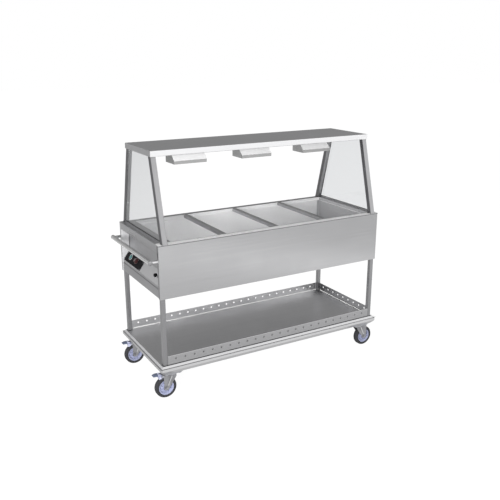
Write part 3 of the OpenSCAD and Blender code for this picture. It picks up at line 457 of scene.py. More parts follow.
# painted shade: the handle's faces that look to the front are a darker copy
HANDLE_TUBE = steel("polished_push_handle", 0.88, POLISHED, roughness=0.2,
                    bare=Facing(FRONT, cool(0.42), 1.0, 0.4, 0.7))
REFLECTOR = BrushedSteel("rolled_reflector", cool(0.86), roughness=0.2, streak=0.05, slot="reflector_metal")
ZINC = Finish("bright_zinc", (0.6, 0.61, 0.64), 0.34, 1.0, 500.0, 3e-5, 0.1, slot="zinc_plated_steel")
FORK = Finish("pressed_fork_steel", (0.5, 0.5, 0.52), 0.36, 1.0, 320.0, 5e-5, 0.14, slot="fork_steel")
SHEATH = Finish("element_sheath", (0.25, 0.24, 0.24), 0.5, 1.0, 700.0, 5e-5, 0.25, slot="element_sheath")
BRASS = Finish("plated_brass", (0.72, 0.62, 0.4), 0.32, 1.0, 260.0, 8e-5, 0.18, slot="valve_brass")
BLACK_PLASTIC = Finish("fine_matt_black", (0.006, 0.006, 0.007), 0.5, 0.0, 1500.0, 4e-5, 0.1,
                       sheen_level=0.06, slot="black_plastic")
KNOB_PLASTIC = Finish("glossy_dark_red", (0.045, 0.018, 0.018), 0.26, 0.0, 1200.0, 2e-5, 0.15, coat=0.2,
                      sheen_level=0.3, slot="knob_plastic")
LEVER = Finish("dipped_red_vinyl", (0.5, 0.04, 0.03), 0.4, 0.0, 600.0, 6e-5, 0.15, slot="lever_enamel")
CERAMIC = Finish("unglazed_ceramic", (0.86, 0.84, 0.78), 0.72, 0.0, 800.0, 8e-5, 0.08,
                 slot="lamp_ceramic")
CORE = Finish("moulded_nylon", (0.3, 0.32, 0.45), 0.45, 0.0, 420.0, 6e-5, 0.1, sheen_level=0.3,
              slot="core_plastic")
TYRE = Finish("tyre_rubber", (0.008, 0.0085, 0.01), 0.7, 0.0, 700.0, 0.00012, 0.2, sheen_level=0.08,
              slot="tyre_rubber")
PEDAL = TippedPlastic("pedal_moulding", (0.55, 0.57, 0.72), 0.42, edge=0.7355, slot="pedal_plastic")
GLASS = Glazing("clear_end_glass", (0.8, 0.81, 0.82), 0.0, slot="end_glass")
QUARTZ = Glazing("frosted_quartz", (0.95, 0.94, 0.92), 0.22, slot="quartz_tube")
LIT_TEAL = LitPlastic("lit_teal", (0.014, 0.085, 0.088), 0.4, glow=0.06, sheen_level=0.15, slot="lit_switch")
SLOT_FINISHES: dict[str, Finish] = {finish.slot: finish for finish in (
    POLISHED, REFLECTOR, ZINC, FORK, SHEATH, BRASS, BLACK_PLASTIC, KNOB_PLASTIC, LEVER, CERAMIC, CORE, TYRE,
    PEDAL, GLASS, QUARTZ)}
NODE_FINISHES: dict[str, Finish] = {
    "push_handle": HANDLE_TUBE, "console_plate": PLATE, "bottom_cover": PLATE,
    "right_end_panel": SHEET_CROSS, "guard_right": END_RAIL, "guard_rear": REAR_RAIL, "guard_": RAIL,
    "top_deck": DECK, "gantry_shelf": SHELF, "base_tray": TRAY, "glazing_channels": CHANNEL,
    "castor_channels": SHEET_CROSS, "crossbar_": BAR, "well_tank": TANK, "front_panel": PANEL,
    "rear_panel": BACK, "leg_": LEG, "post_": POST, "lamp_housings": HOUSING}

PAD = Finish("pedal_pad", PEDAL.tip, 0.55, 0.0, 700.0, 0.0001, 0.12, slot=PEDAL.slot)
WHITE_INK = Finish("pale_print", (0.75, 0.75, 0.74), 0.5, 0.0, 1800.0, 1e-5, 0.05, slot=CERAMIC.slot)
WELD = Finish("ground_weld", (0.66, 0.66, 0.67), 0.38, 1.0, 1400.0, 0.00012, 0.06)
# painted highlight: a pale bead that stands for a bright fold
PAINTED_HIGHLIGHT = Finish("pale_painted_highlight", (0.88, 0.88, 0.87), 0.4, 0.0, 300.0, 6e-5, 0.05, slot=TYRE.slot)
# the black of the real seals and joints, also used for dark strips of painted shade
SEAL_AND_SHADE = Finish("black_seal_and_painted_shade", (0.02, 0.02, 0.022), 0.55, 0.0, 900.0, 5e-5, 0.1, slot=TYRE.slot)
GUARD = Finish("grey_thread_guard", (0.09, 0.09, 0.11), 0.45, 0.0, 900.0, 5e-5, 0.1,
               slot=BLACK_PLASTIC.slot)


def add_object(name: str, data: bpy.types.ID) -> bpy.types.Object:
    """Makes an object of a mesh, lamp or camera and links it into the scene."""
    made = bpy.data.objects.new(name, data)
    bpy.context.scene.collection.objects.link(made)
    return made


@dataclass
class Studio:
    """The camera, the pale floor and the soft light."""

    eye: Point = (-1.9392, -3.3551, 1.8689)
    turn_deg: float = -30.02
    tilt_deg: float = 16.89
    lens_mm: float = 47.5
    floor_half: float = 30.0
    fill: float = 0.62
    shadow_share: float = 0.16
    room_light: float = 1.0
    floor_light: float = 1.12
    floor_colour: Point = (0.85, 0.85, 0.85, 1.0)

    def camera(self) -> None:
        """Puts the camera at the photograph's place."""
        data = bpy.data.cameras.new("view")
        data.lens = self.lens_mm
        data.sensor_width = 36.0
        data.clip_end = 200.0
        made = add_object("view", data)
        turn, tilt = math.radians(self.turn_deg), math.radians(self.tilt_deg)
        ahead = Vector((-math.sin(turn) * math.cos(tilt), math.cos(turn) * math.cos(tilt), -math.sin(tilt)))
        made.rotation_euler = ahead.to_track_quat("-Z", "Y").to_euler()
        made.location = self.eye
        bpy.context.scene.camera = made

    def strength(self, graph: Graph, mirrored: Sock, plain: float) -> Sock:
        """Chooses the light that each kind of ray meets.

        Args:
            graph: The nodes to add to.
            mirrored: The level that polished and brushed metal shows.
            plain: The level that the camera meets, straight or through glass.

        Returns:
            The emission strength.
        """
        path = {name: graph.node("ShaderNodeLightPath", out=name)
                for name in ("Is Camera Ray", "Is Transmission Ray", "Is Glossy Ray", "Glossy Depth")}
        through, turned = path["Is Transmission Ray"], path["Glossy Depth"].ramp(0.0, 1.0)
        straight = path["Is Camera Ray"].most(through * (1.0 - turned))
        glossy = path["Is Glossy Ray"].most(through * turned)
        return straight * plain + (1.0 - straight) * (mirrored * glossy + (1.0 - glossy) * self.fill)

    def world(self) -> None:
        """Fills the room with soft light, brighter in front than behind and above."""
        made = bpy.data.worlds.new("room")
        bpy.context.scene.world = made
        graph = Graph(made)
        across, ahead, up = graph.split(graph.coordinates("Generated"))
        front = across * 0.55 - ahead * 0.84
        window = (ahead * 0.52 - across * 0.72 + up * 0.46).ramp(0.8, 0.97, 0.0, 1.0)
        mirrored = front.ramp(-0.25, 0.75, 0.29, 1.04) + front.ramp(0.6, 1.0, 0.0, 0.15) + window
        sockets = {"Color": WHITE, "Strength": self.strength(graph, mirrored, self.room_light)}
        back = graph.node("ShaderNodeBackground", {}, sockets)
        graph.output(back, "ShaderNodeOutputWorld")

    def floor(self) -> None:
        """Lays the white floor."""
        bm = bmesh.new()
        bmesh.ops.create_grid(bm, x_segments=1, y_segments=1, size=self.floor_half)
        mesh = bpy.data.meshes.new("floor")
        bm.to_mesh(mesh)
        bm.free()
        made = add_object("floor", mesh)
        finish = bpy.data.materials.new("studio_floor")
        graph = Graph(finish)
        across, ahead, _ = graph.split(graph.coordinates("Object"))
        front = across * 0.5 - ahead * 0.87
        near = front.ramp(-12.0, -4.5, 0.36, 0.55) + front.ramp(-3.7, 3.0, 0.0, 0.1)
        band = ((across - 0.36) * 0.66 - (ahead + 2.83) * 0.75).size().ramp(0.0, 0.55, 0.62, 0.0)
        mirrored = near + band + front.ramp(4.0, 14.0, 0.0, 0.4)
        sockets = {"Color": WHITE, "Strength": self.strength(graph, mirrored, self.floor_light)}
        bright = graph.node("ShaderNodeEmission", {}, sockets)
        soft = graph.node("ShaderNodeBsdfDiffuse", {}, {"Color": self.floor_colour})
        graph.output(graph.node("ShaderNodeMixShader", {}, {0: self.shadow_share, 1: bright, 2: soft}))
        mesh.materials.append(finish)

    def lamp(self, name: str, place: Point, aim: Point, size: float, watts: float) -> None:
        """Adds a soft lamp, which metal doesn't mirror.

        Args:
            name: The lamp's name.
            place: Where it hangs.
            aim: The point it faces.
            size: The side of its square.
            watts: Its power.
        """
        data = bpy.data.lights.new(name, "AREA")
        data.size = size
        data.energy = watts
        made = add_object(name, data)
        made.location = place
        made.rotation_euler = (Vector(aim) - Vector(place)).to_track_quat("-Z", "Y").to_euler()
        made.visible_glossy = False

    def build(self) -> None:
        """Sets the whole studio up."""
        bpy.context.scene.view_settings.view_transform = "Standard"
        self.camera()
        self.world()
        self.floor()
        self.lamp("key", (-1.2, -2.6, 4.4), (0, 0, 0.7), 2.6, 70.0)
        self.lamp("side", (-4.6, 0.4, 2.2), (0, 0, 0.7), 2.4, 15.0)
        self.lamp("front", (-3.4, -3.6, 1.45), (0, 0, 1.2), 1.6, 260.0)
        LOG.info("studio ready")


class Piece:
    """A visible piece that is modelled in millimetres about the body's middle."""

    def __init__(self, name: str, finish: Finish, body: str = TROLLEY, slot: str = "") -> None:
        """Starts an empty mesh.

        Args:
            name: The object's name.
            finish: The finish that it gets.
            body: The CAD body that it rides on.
            slot: The record's material slot that it stands for, where it isn't the finish's own; kept on the
                piece but not used.
        """
        self.name = name
        self.finish = finish
        self.body = body
        self.slot = slot or finish.slot
        self.bm = bmesh.new()

    @staticmethod
    def spot(centre: Point, axis: Point = AXIS_Z) -> Matrix:
        """Returns the matrix that puts a shape's Z axis along axis, at centre."""
        turn = Vector(axis).to_track_quat("Z", "Y").to_matrix().to_4x4()
        return Matrix.Translation(Vector(centre)) @ turn

    def soften(self, verts: Sequence[bmesh.types.BMVert], width: float) -> None:
        """Rounds the sharp edges among the vertices of one shape.

        Args:
            verts: The vertices.
            width: The width of the rounding.
        """
        chosen = set(verts)
        edges = [e for e in self.bm.edges if e.verts[0] in chosen and e.verts[1] in chosen
                 and len(e.link_faces) == 2 and e.calc_face_angle(0.0) > SOFTEN_FROM]
        bmesh.ops.bevel(self.bm, geom=edges, offset=width, offset_type="OFFSET", segments=2, profile=0.5,
                        affect="EDGES", clamp_overlap=True, material=-1)

    def drum(self, start: Point, end: Point, radius: float, sides: int, soft: float = 0.0) -> None:
        """Adds a closed cylinder.

        Args:
            start: The middle of its first end.
            end: The middle of its other end.
            radius: Its radius.
            sides: Its number of sides.
            soft: The width of its edges' rounding.
        """
        low, high = Vector(start), Vector(end)
        made = bmesh.ops.create_cone(self.bm, cap_ends=True, cap_tris=False, segments=sides, radius1=radius,
                                     radius2=radius, depth=(high - low).length,
                                     matrix=self.spot((low + high) / 2, high - low))
        if soft:
            self.soften(made["verts"], soft)

    def bar(self, low: Point, high: Point, soft: float = 0.0, turn: Matrix | None = None) -> None:
        """Adds a block.

        Args:
            low: Its lowest corner.
            high: Its highest corner.
            soft: The width of its edges' rounding.
            turn: A matrix that places it, where it isn't square to the body.
        """
        span = Vector(high) - Vector(low)
        sized = Matrix.Translation((Vector(low) + Vector(high)) / 2) @ Matrix.Diagonal((*span, 1.0))
        made = bmesh.ops.create_cube(self.bm, size=1.0, matrix=sized)
        if turn is not None:
            bmesh.ops.transform(self.bm, matrix=turn, verts=made["verts"])
        if soft:
            self.soften(made["verts"], soft)

    def turned(self, profile: Profile, place: Matrix, steps: int) -> None:
        """Turns a section about the Z axis.

        Args:
            profile: Radius and height of each point. One that starts at the axis is left open there.
            place: The matrix that puts the result in place.
            steps: The number of facets round it.
        """
        before = set(self.bm.verts)
        verts = [self.bm.verts.new((r, 0.0, z)) for r, z in profile]
        pairs = list(zip(verts, verts[1:]))
        if profile[0][0] > 0.0:
            pairs.append((verts[-1], verts[0]))
        edges = [self.bm.edges.new(pair) for pair in pairs]
        bmesh.ops.spin(self.bm, geom=verts + edges, cent=ORIGIN, axis=AXIS_Z, angle=math.tau, steps=steps,
                       use_merge=True, use_normal_flip=False, use_duplicate=False)
        bmesh.ops.remove_doubles(self.bm, verts=self.added(before), dist=WELD_DISTANCE)
        bmesh.ops.transform(self.bm, matrix=place, verts=self.added(before))

    def added(self, before: set[bmesh.types.BMVert]) -> list[bmesh.types.BMVert]:
        """Returns the vertices that weren't there before."""
        return [v for v in self.bm.verts if v not in before]

    def ring(self, centre: Point, axis: Point, radius: float, wire: float, steps: int) -> None:
        """Adds a round ring.

        Args:
            centre: Its middle.
            axis: The way that it faces.
            radius: From its middle to the middle of its wire.
            wire: The wire's radius.
            steps: The number of facets round it.
        """
        turns = [math.tau * i / WIRE_SIDES for i in range(WIRE_SIDES)]
        section = [(radius + wire * math.cos(a), wire * math.sin(a)) for a in turns]
        self.turned(section, self.spot(centre, axis), steps)

    def grow(self, faces: Sequence[bmesh.types.BMFace], along: Point) -> list[bmesh.types.BMVert]:
        """Extrudes faces along a way and returns the new vertices."""
        grown = bmesh.ops.extrude_face_region(self.bm, geom=faces)["geom"]
        verts = [v for v in grown if isinstance(v, bmesh.types.BMVert)]
        bmesh.ops.translate(self.bm, vec=along, verts=verts)
        return verts

    def frame_bead(self, low: Point, high: Point, height: float, width: float) -> None:
        """Adds a rounded bead along a rectangle.

        Args:
            low: The rectangle's first corner, on the plane that the bead lies on.
            high: Its opposite corner, on that plane.
            height: The bead's height.
            width: The bead's width, outwards from the rectangle.
        """
        x0, y0, z = low[0] - width, low[1] - width, low[2]
        x1, y1 = high[0] + width, high[1] + width
        outer = [(x0, y0), (x1, y0), (x1, y1), (x0, y1)]
        face = self.bm.faces.new([self.bm.verts.new((x, y, z)) for x, y in outer])
        inner = bmesh.ops.inset_individual(self.bm, faces=[face], thickness=width, depth=0.0)
        bmesh.ops.delete(self.bm, geom=[face], context="FACES_ONLY")
        self.soften(self.grow(inner["faces"], (0, 0, height)), min(height, width) * 0.4)

    def done(self) -> None:
        """Finishes the mesh, in metres and in the row's frame, and puts it on its body."""
        bmesh.ops.recalc_face_normals(self.bm, faces=self.bm.faces)
        to_row = Matrix.Translation((BODY_X, 0, 0)) @ Matrix.Scale(MM, 4)
        bmesh.ops.transform(self.bm, matrix=to_row, verts=self.bm.verts)
        for face in self.bm.faces:
            face.smooth = True
        mesh = bpy.data.meshes.new(self.name)
        self.bm.to_mesh(mesh)
        self.bm.free()
        mesh.set_sharp_from_angle(angle=SHARP_FROM)
        mesh.materials.append(self.finish.material())
        made = add_object(self.name, mesh)
        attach(made, self.body)
        LOG.info("%s: %d faces on %s", self.name, len(mesh.polygons), self.body)


def finish_all(*pieces: Piece) -> None:
    """Finishes pieces in their order."""
    for piece in pieces:
        piece.done()


def on_side(side: int, near: float, far: float) -> list[float]:
    """Returns two distances from the middle as places on one side of it, the lower one first."""
    return sorted((side * near, side * far))


def turned_about(axis: str, angle: float) -> Matrix:
    """Returns a rotation in radians about a named axis."""
    return Matrix.Rotation(angle, 4, axis)


@dataclass
class Fascia:
    """The sloping face of the console, which carries the controls."""

    top_x: float = -684.0
    top_z: float = 728.0
    foot_x: float = -727.0
    foot_z: float = 668.0

    def place(self, y: float, drop: float, rise: float = 0.0) -> Matrix:
        """Returns a matrix onto the fascia.

        Args:
            y: The place across the trolley.
            drop: The distance down the slope from its top edge.
            rise: The height above the sheet.

        Returns:
            A matrix whose X runs up the slope, Y across and Z out of it.
        """
        up = Vector((self.top_x - self.foot_x, 0.0, self.top_z - self.foot_z)).normalized()
        out = Vector((-up.z, 0.0, up.x))
        spot = Vector((self.top_x, y, self.top_z)) - up * drop + out * rise
        turn = Matrix((up, Vector(AXIS_Y), out)).transposed().to_4x4()
        return Matrix.Translation(spot) @ turn


@dataclass
class Console:
    """The small parts of the controls at the handle end."""

    fascia: Fascia
    half: float = 282.0
    lap_z: float = 652.1
    switch_y: float = 195.0
    knob_y: float = 110.0
    gland_y: float = -180.0
    drop: float = 34.0
    plate: float = 2.0
    screw_y: Pair = (26.0, 266.0)
    screw_drop: Pair = (20.0, 64.0)
    screw: Profile = ((0, 0), (3.2, 0), (3.0, 0.8), (2.0, 1.4), (0, 1.6))
    tick_start: float = 36.0
    tick_turn: float = 28.8
    ticks: tuple[int, ...] = (1, 2, 3, 7, 8, 9)
    knob_flat: float = 16.3
    knob_ring: Profile = ((6.2, 1.0), (7.0, 1.0), (7.0, 1.3), (6.2, 1.3))
    off_sign: Profile = ((1.5, 5.0), (2.2, 5.0), (2.2, 5.75), (1.5, 5.75))
    washer: Profile = ((8.2, 0), (15.5, 0), (15.2, 0.9), (14.2, 1.2), (8.2, 1.2))
    plug: Profile = ((0, 8.2), (4.1, 8.2), (4.1, 13.4), (3.4, 14.4), (0, 14.8))
    gland_ribs: int = 14

    def build(self) -> None:
        """Builds the folds, the screws, the dial, the pointer, the rocker's signs and the gland's parts."""
        self.folds()
        self.plate_screws()
        self.dial()
        self.pointer()
        self.signs()
        self.gland()

    def folds(self) -> None:
        """Rounds the fold at the fascia's foot in paler polished steel, a painted highlight, and marks the
        joint where the bottom cover laps the lip.
        """
        x, z = self.fascia.foot_x, self.fascia.foot_z
        # the fold's rounding is real; its paler polished steel is a painted highlight
        fold = Piece("fascia_fold", POLISHED)
        fold.drum((x + 0.3, -self.half, z), (x + 0.3, self.half, z), 0.9, 12)
        joint = Piece("lap_joint", SEAL_AND_SHADE)
        joint.bar((x - 1.1, -self.half, self.lap_z), (x - 0.2, self.half, self.lap_z + 1.5), 0.2)
        finish_all(fold, joint)

    def plate_screws(self) -> None:
        """Puts a screw in each corner of the control plate, with a black bar of painted shade for its slot.
        """
        screws = Piece("control_plate_screws", ZINC)
        # painted shade: black bars stand for the shade in the screws' slots
        slots = Piece("control_plate_screw_slots", BLACK_PLASTIC)
        for y in self.screw_y:
            for drop in self.screw_drop:
                at = self.fascia.place(y, drop, self.plate)
                screws.turned(self.screw, at, 20)
                slots.bar((-2.2, -0.3, 1.2), (2.2, 0.3, 1.75), 0.0, at)
        finish_all(screws, slots)

    def dial(self) -> None:
        """Prints plain ticks on both sides of the knob."""
        ticks = Piece("dial_ticks", WHITE_INK)
        at = self.fascia.place(self.knob_y, self.drop, self.plate)
        for step in self.ticks:
            angle = math.radians(self.tick_start + self.tick_turn * step)
            ticks.bar((20.4, -0.4, 0.0), (23.4, 0.4, 0.12), 0.0, at @ turned_about("Z", math.pi + angle))
        ticks.done()

    def pointer(self) -> None:
        """Lays the bright pointer and ring in the knob's top, and a mark on its skirt."""
        mark = Piece("knob_pointer", POLISHED, "knob")
        at = self.fascia.place(self.knob_y, self.drop, self.knob_flat)
        mark.bar((1.0, -0.55, 0.0), (12.0, 0.55, 1.2), 0.15, at)
        mark.bar((13.6, -0.9, -11.95), (18.4, 0.9, -11.2), 0.12, at)
        mark.turned(self.knob_ring, at, 36)
        mark.done()

    def signs(self) -> None:
        """Puts plain on and off signs on the rocker."""
        at = self.fascia.place(self.switch_y, self.drop, self.plate)
        sign = Piece("rocker_signs", WHITE_INK, "rocker")
        sign.bar((5.2, -0.45, 5.0), (8.8, 0.45, 5.75), 0.1, at)
        sign.turned(self.off_sign, at @ Matrix.Translation((-7, 0, 0)), 28)
        sign.done()

    def gland(self) -> None:
        """Puts the bright washer under the gland, its ribs and its blanking plug."""
        at = self.fascia.place(self.gland_y, self.drop)
        washer = Piece("gland_washer", POLISHED)
        washer.turned(self.washer, at, 48)
        ribs = Piece("gland_ribs", BLACK_PLASTIC)
        for i in range(self.gland_ribs):
            turn = at @ turned_about("Z", math.tau * i / self.gland_ribs)
            ribs.bar((8.0, -0.5, 5.2), (10.4, 0.5, 9.5), 0.2, turn)
        ribs.turned(self.plug, at, 28)
        finish_all(washer, ribs)


@dataclass
class Handle:
    """The collars and cap joints of the push handle."""

    x: float = -777.0
    z: float = 812.0
    radius: float = 12.5
    joint_y: float = 294.0
    bracket_y: float = 285.0
    bracket_r: float = 8.0
    end_x: float = -732.5

    def build(self) -> None:
        """Builds the weld beads round the brackets and the dark joint of each cap."""
        welds = Piece("handle_welds", WELD, slot=POLISHED.slot)
        joints = Piece("handle_cap_joints", BLACK_PLASTIC)
        for side in SIDES:
            y = side * self.bracket_y
            welds.ring((self.end_x - 0.4, y, self.z), AXIS_X, self.bracket_r + 0.3, 1.3, 36)
            welds.ring((self.x + self.radius - 1.2, y, self.z), AXIS_X, self.bracket_r - 0.2, 1.4, 36)
            joints.ring((self.x, side * self.joint_y, self.z), AXIS_Y, self.radius - 0.1, 0.35, 48)
        finish_all(welds, joints)


@dataclass
class Well:
    """The rims, coves and painted shadow lines of the heated well."""

    low: Pair = (-642.0, -256.0)
    high: Pair = (688.0, 262.0)
    deck: float = 900.0
    floor: float = 700.0
    ledge: float = 10.0
    ledge_z: float = 879.0
    cove: float = 14.0
    cove_steps: int = 6
    skin: float = 295.9
    seam_x: float = 732.0
    seam_z: Pair = (893.8, 896.0)
    drain_x: float = 633.0
    holes: tuple[Pair, ...] = ((1, 0.0), (6, 6.0), (12, 12.0))
    edge: Profile = ((0, 0.4), (21, 0.4), (22, 0.2), (22, 0), (24, 0), (22.6, 1.6), (20, 2.4), (0, 2.8))

    def build(self) -> None:
        """Builds the rim bead, the coved corners, dark strips of painted shadow under the deck's edges and
        the strainer.
        """
        rim = Piece("well_rim_bead", SHEET)
        rim.frame_bead((*self.low, self.deck), (*self.high, self.deck), 0.9, 3.0)
        rim.done()
        self.coves()
        # painted shadow: dark strips stand for the shade in the gap under the deck's front and rear edges
        painted_lines = Piece("deck_painted_shadow_lines", SEAL_AND_SHADE)
        for side in SIDES:
            ends = on_side(side, self.skin, self.skin + 0.4)
            painted_lines.bar((-self.seam_x, ends[0], self.seam_z[0]), (self.seam_x, ends[1], self.seam_z[1]), 0.15)
        painted_lines.done()
        self.strainer()

    def coves(self) -> None:
        """Rounds the tank's upright corners and the corners round its floor."""
        coves = Piece("tank_coves", SHEET)
        (x0, y0), (x1, y1) = ([v + self.ledge for v in self.low], [v - self.ledge for v in self.high])
        for x, sx in ((x0, 1), (x1, -1)):
            for y, sy in ((y0, 1), (y1, -1)):
                self.corner(coves, (x, y, self.floor), (x, y, self.ledge_z), (sx, 0, 0), (0, sy, 0))
        for y, sy in ((y0, 1), (y1, -1)):
            self.corner(coves, (x0, y, self.floor), (x1, y, self.floor), (0, sy, 0), AXIS_Z)
        for x, sx in ((x0, 1), (x1, -1)):
            self.corner(coves, (x, y0, self.floor), (x, y1, self.floor), (sx, 0, 0), AXIS_Z)
        coves.done()

    def corner(self, piece: Piece, start: Point, end: Point, one: Point, two: Point) -> None:
        """Fills an inner corner with a hollow rounding.

        Args:
            piece: The piece that it joins.
            start: The corner's first end.
            end: Its other end.
            one: The way away from the first wall.
            two: The way away from the second wall.
        """
        foot, away, aside = Vector(start), Vector(one), Vector(two)
        turns = [math.pi / 2 * i / self.cove_steps for i in range(self.cove_steps + 1)]
        arc = [(away * (1 - math.cos(a)) + aside * (1 - math.sin(a))) * self.cove for a in turns]
        section = [(away + aside) * -0.2, *arc]
        face = piece.bm.faces.new([piece.bm.verts.new(foot + p) for p in section])
        piece.grow([face], Vector(end) - foot)

    def strainer(self) -> None:
        """Lays a strainer over the drain, with black discs of painted shade for its holes."""
        plate = Piece("drain_strainer", POLISHED)
        plate.turned(self.edge, Matrix.Translation((self.drain_x, 0.0, self.floor)), 40)
        # painted shade: black discs stand for the dark in the strainer's holes
        holes = Piece("drain_strainer_holes", BLACK_PLASTIC)
        for count, radius in self.holes:
            for i in range(count):
                turn = math.tau * i / count
                x, y = self.drain_x + radius * math.cos(turn), radius * math.sin(turn)
                holes.drum((x, y, self.floor + 2.0), (x, y, self.floor + 3.0 - radius * 0.02), 1.5, 14)
        finish_all(plate, holes)


@dataclass
class Gantry:
    """The seals and welds of the posts and glass."""

    post_x: Pair = (677.5, 707.5)
    glass_x: float = 702.5
    seal_gap: float = 3.9
    foot_y: Pair = (264.5, 293.5)
    weld: float = 1.6
    lean: float = math.radians(14.61)
    deck: float = 900.0
    shelf: float = 1343.0

    def build(self) -> None:
        """Builds the weld at each post's foot and the seals of the glass."""
        welds = Piece("post_welds", WELD)
        seals = Piece("glass_seals", SEAL_AND_SHADE)
        for side in SIDES:
            xs = on_side(side, *self.post_x)
            for end in SIDES:
                ys = on_side(end, *self.foot_y)
                welds.frame_bead((xs[0], ys[0], self.deck), (xs[1], ys[1], self.deck), self.weld, self.weld)
            for face in SIDES:
                self.seal(seals, side * self.glass_x + face * self.seal_gap)
        finish_all(welds, seals)

    def seal(self, piece: Piece, x: float) -> None:
        """Runs a slim seal along the foot and both sloping edges of a pane.

        Args:
            piece: The piece that it joins.
            x: The seal's middle, beside the glass.
        """
        half = 0.9
        foot = self.foot_y[0] - 6.0
        piece.bar((x - half, -foot, self.deck + 10.4), (x + half, foot, self.deck + 12.2), 0.5)
        length = (self.shelf - self.deck) / math.cos(self.lean)
        for end in SIDES:
            edge = Matrix.Translation((x, end * (self.foot_y[0] - half), self.deck))
            turn = edge @ turned_about("X", end * self.lean)
            piece.bar((-half, -half, 12.0), (half, half, length), 0.5, turn)


@dataclass
class Lamps:
    """The wires, coils and screws of the three heat lamps."""

    centres: tuple[float, ...] = (-424.0, 0.0, 424.0)
    half: float = 99.0
    foot: float = 1270.0
    top: float = 1331.0
    axis_z: float = 1285.0
    shelf: float = 1372.5
    wire: float = 1.1
    wires: int = 6
    wire_gap: float = 30.0
    conduit_y: float = 24.0
    nut: float = 5.0
    screw_spots: tuple[Pair, ...] = ((-46.0, 1278.0), (46.0, 1278.0), (46.0, 1322.0))
    screw: Profile = ((0, 0), (2.6, 0), (2.4, 0.6), (1.4, 1.1), (0, 1.2))
    coil_turns: int = 26
    coil_steps: int = 12
    coil_radius: float = 2.9
    coil_wire: float = 0.4

    def build(self) -> None:
        """Builds the lamps' guards, coils, conduits and end screws."""
        guards = Piece("lamp_guards", POLISHED)
        coils = Piece("lamp_coils", SHEATH)
        conduits = Piece("lamp_conduits", POLISHED)
        screws = Piece("lamp_screws", ZINC)
        for centre in self.centres:
            self.guard(guards, centre)
            self.coil(coils, centre)
            y = self.conduit_y
            conduits.drum((centre, y, self.top), (centre, y, self.shelf), 5.0, 24)
            for z in (self.top, self.shelf - self.nut):
                conduits.drum((centre, y, z), (centre, y, z + self.nut), 7.4, 6, 0.4)
            for end in SIDES:
                for y, z in self.screw_spots:
                    at = Piece.spot((centre + end * self.half, y, z), (end, 0, 0))
                    screws.turned(self.screw, at, 18)
        finish_all(guards, coils, conduits, screws)

    def guard(self, piece: Piece, centre: float) -> None:
        """Lays the wires below a lamp.

        Args:
            piece: The piece that they join.
            centre: The lamp's middle along the trolley.
        """
        z = self.foot + 2 * self.wire
        for i in range(self.wires):
            x = centre + (i - (self.wires - 1) / 2) * self.wire_gap
            piece.drum((x, -56.8, z), (x, 55.8, z), self.wire, 10)
        z = self.foot + 3.6
        for y in (-22.0, 22.0):
            piece.drum((centre - 82, y, z), (centre + 82, y, z), self.wire, 10)

    def coil(self, piece: Piece, centre: float) -> None:
        """Winds the heating coil that shows inside the quartz.

        Args:
            piece: The piece that it joins.
            centre: The lamp's middle along the trolley.
        """
        span = 2 * self.half - 48.0
        steps = self.coil_turns * self.coil_steps
        before = set(piece.bm.verts)
        start = Matrix.Translation((self.coil_radius, 0, 0)) @ turned_about("X", math.pi / 2)
        made = bmesh.ops.create_circle(piece.bm, cap_ends=False, segments=5, radius=self.coil_wire,
                                       matrix=start)["verts"]
        edges = list({e for v in made for e in v.link_edges})
        bmesh.ops.spin(piece.bm, geom=made + edges, cent=ORIGIN, axis=AXIS_Z, dvec=(0, 0, span / steps),
                       angle=math.tau * self.coil_turns, steps=steps, use_merge=False,
                       use_normal_flip=False, use_duplicate=False)
        place = Piece.spot((centre - span / 2, 0, self.axis_z), AXIS_X)
        bmesh.ops.transform(piece.bm, matrix=place, verts=piece.added(before))


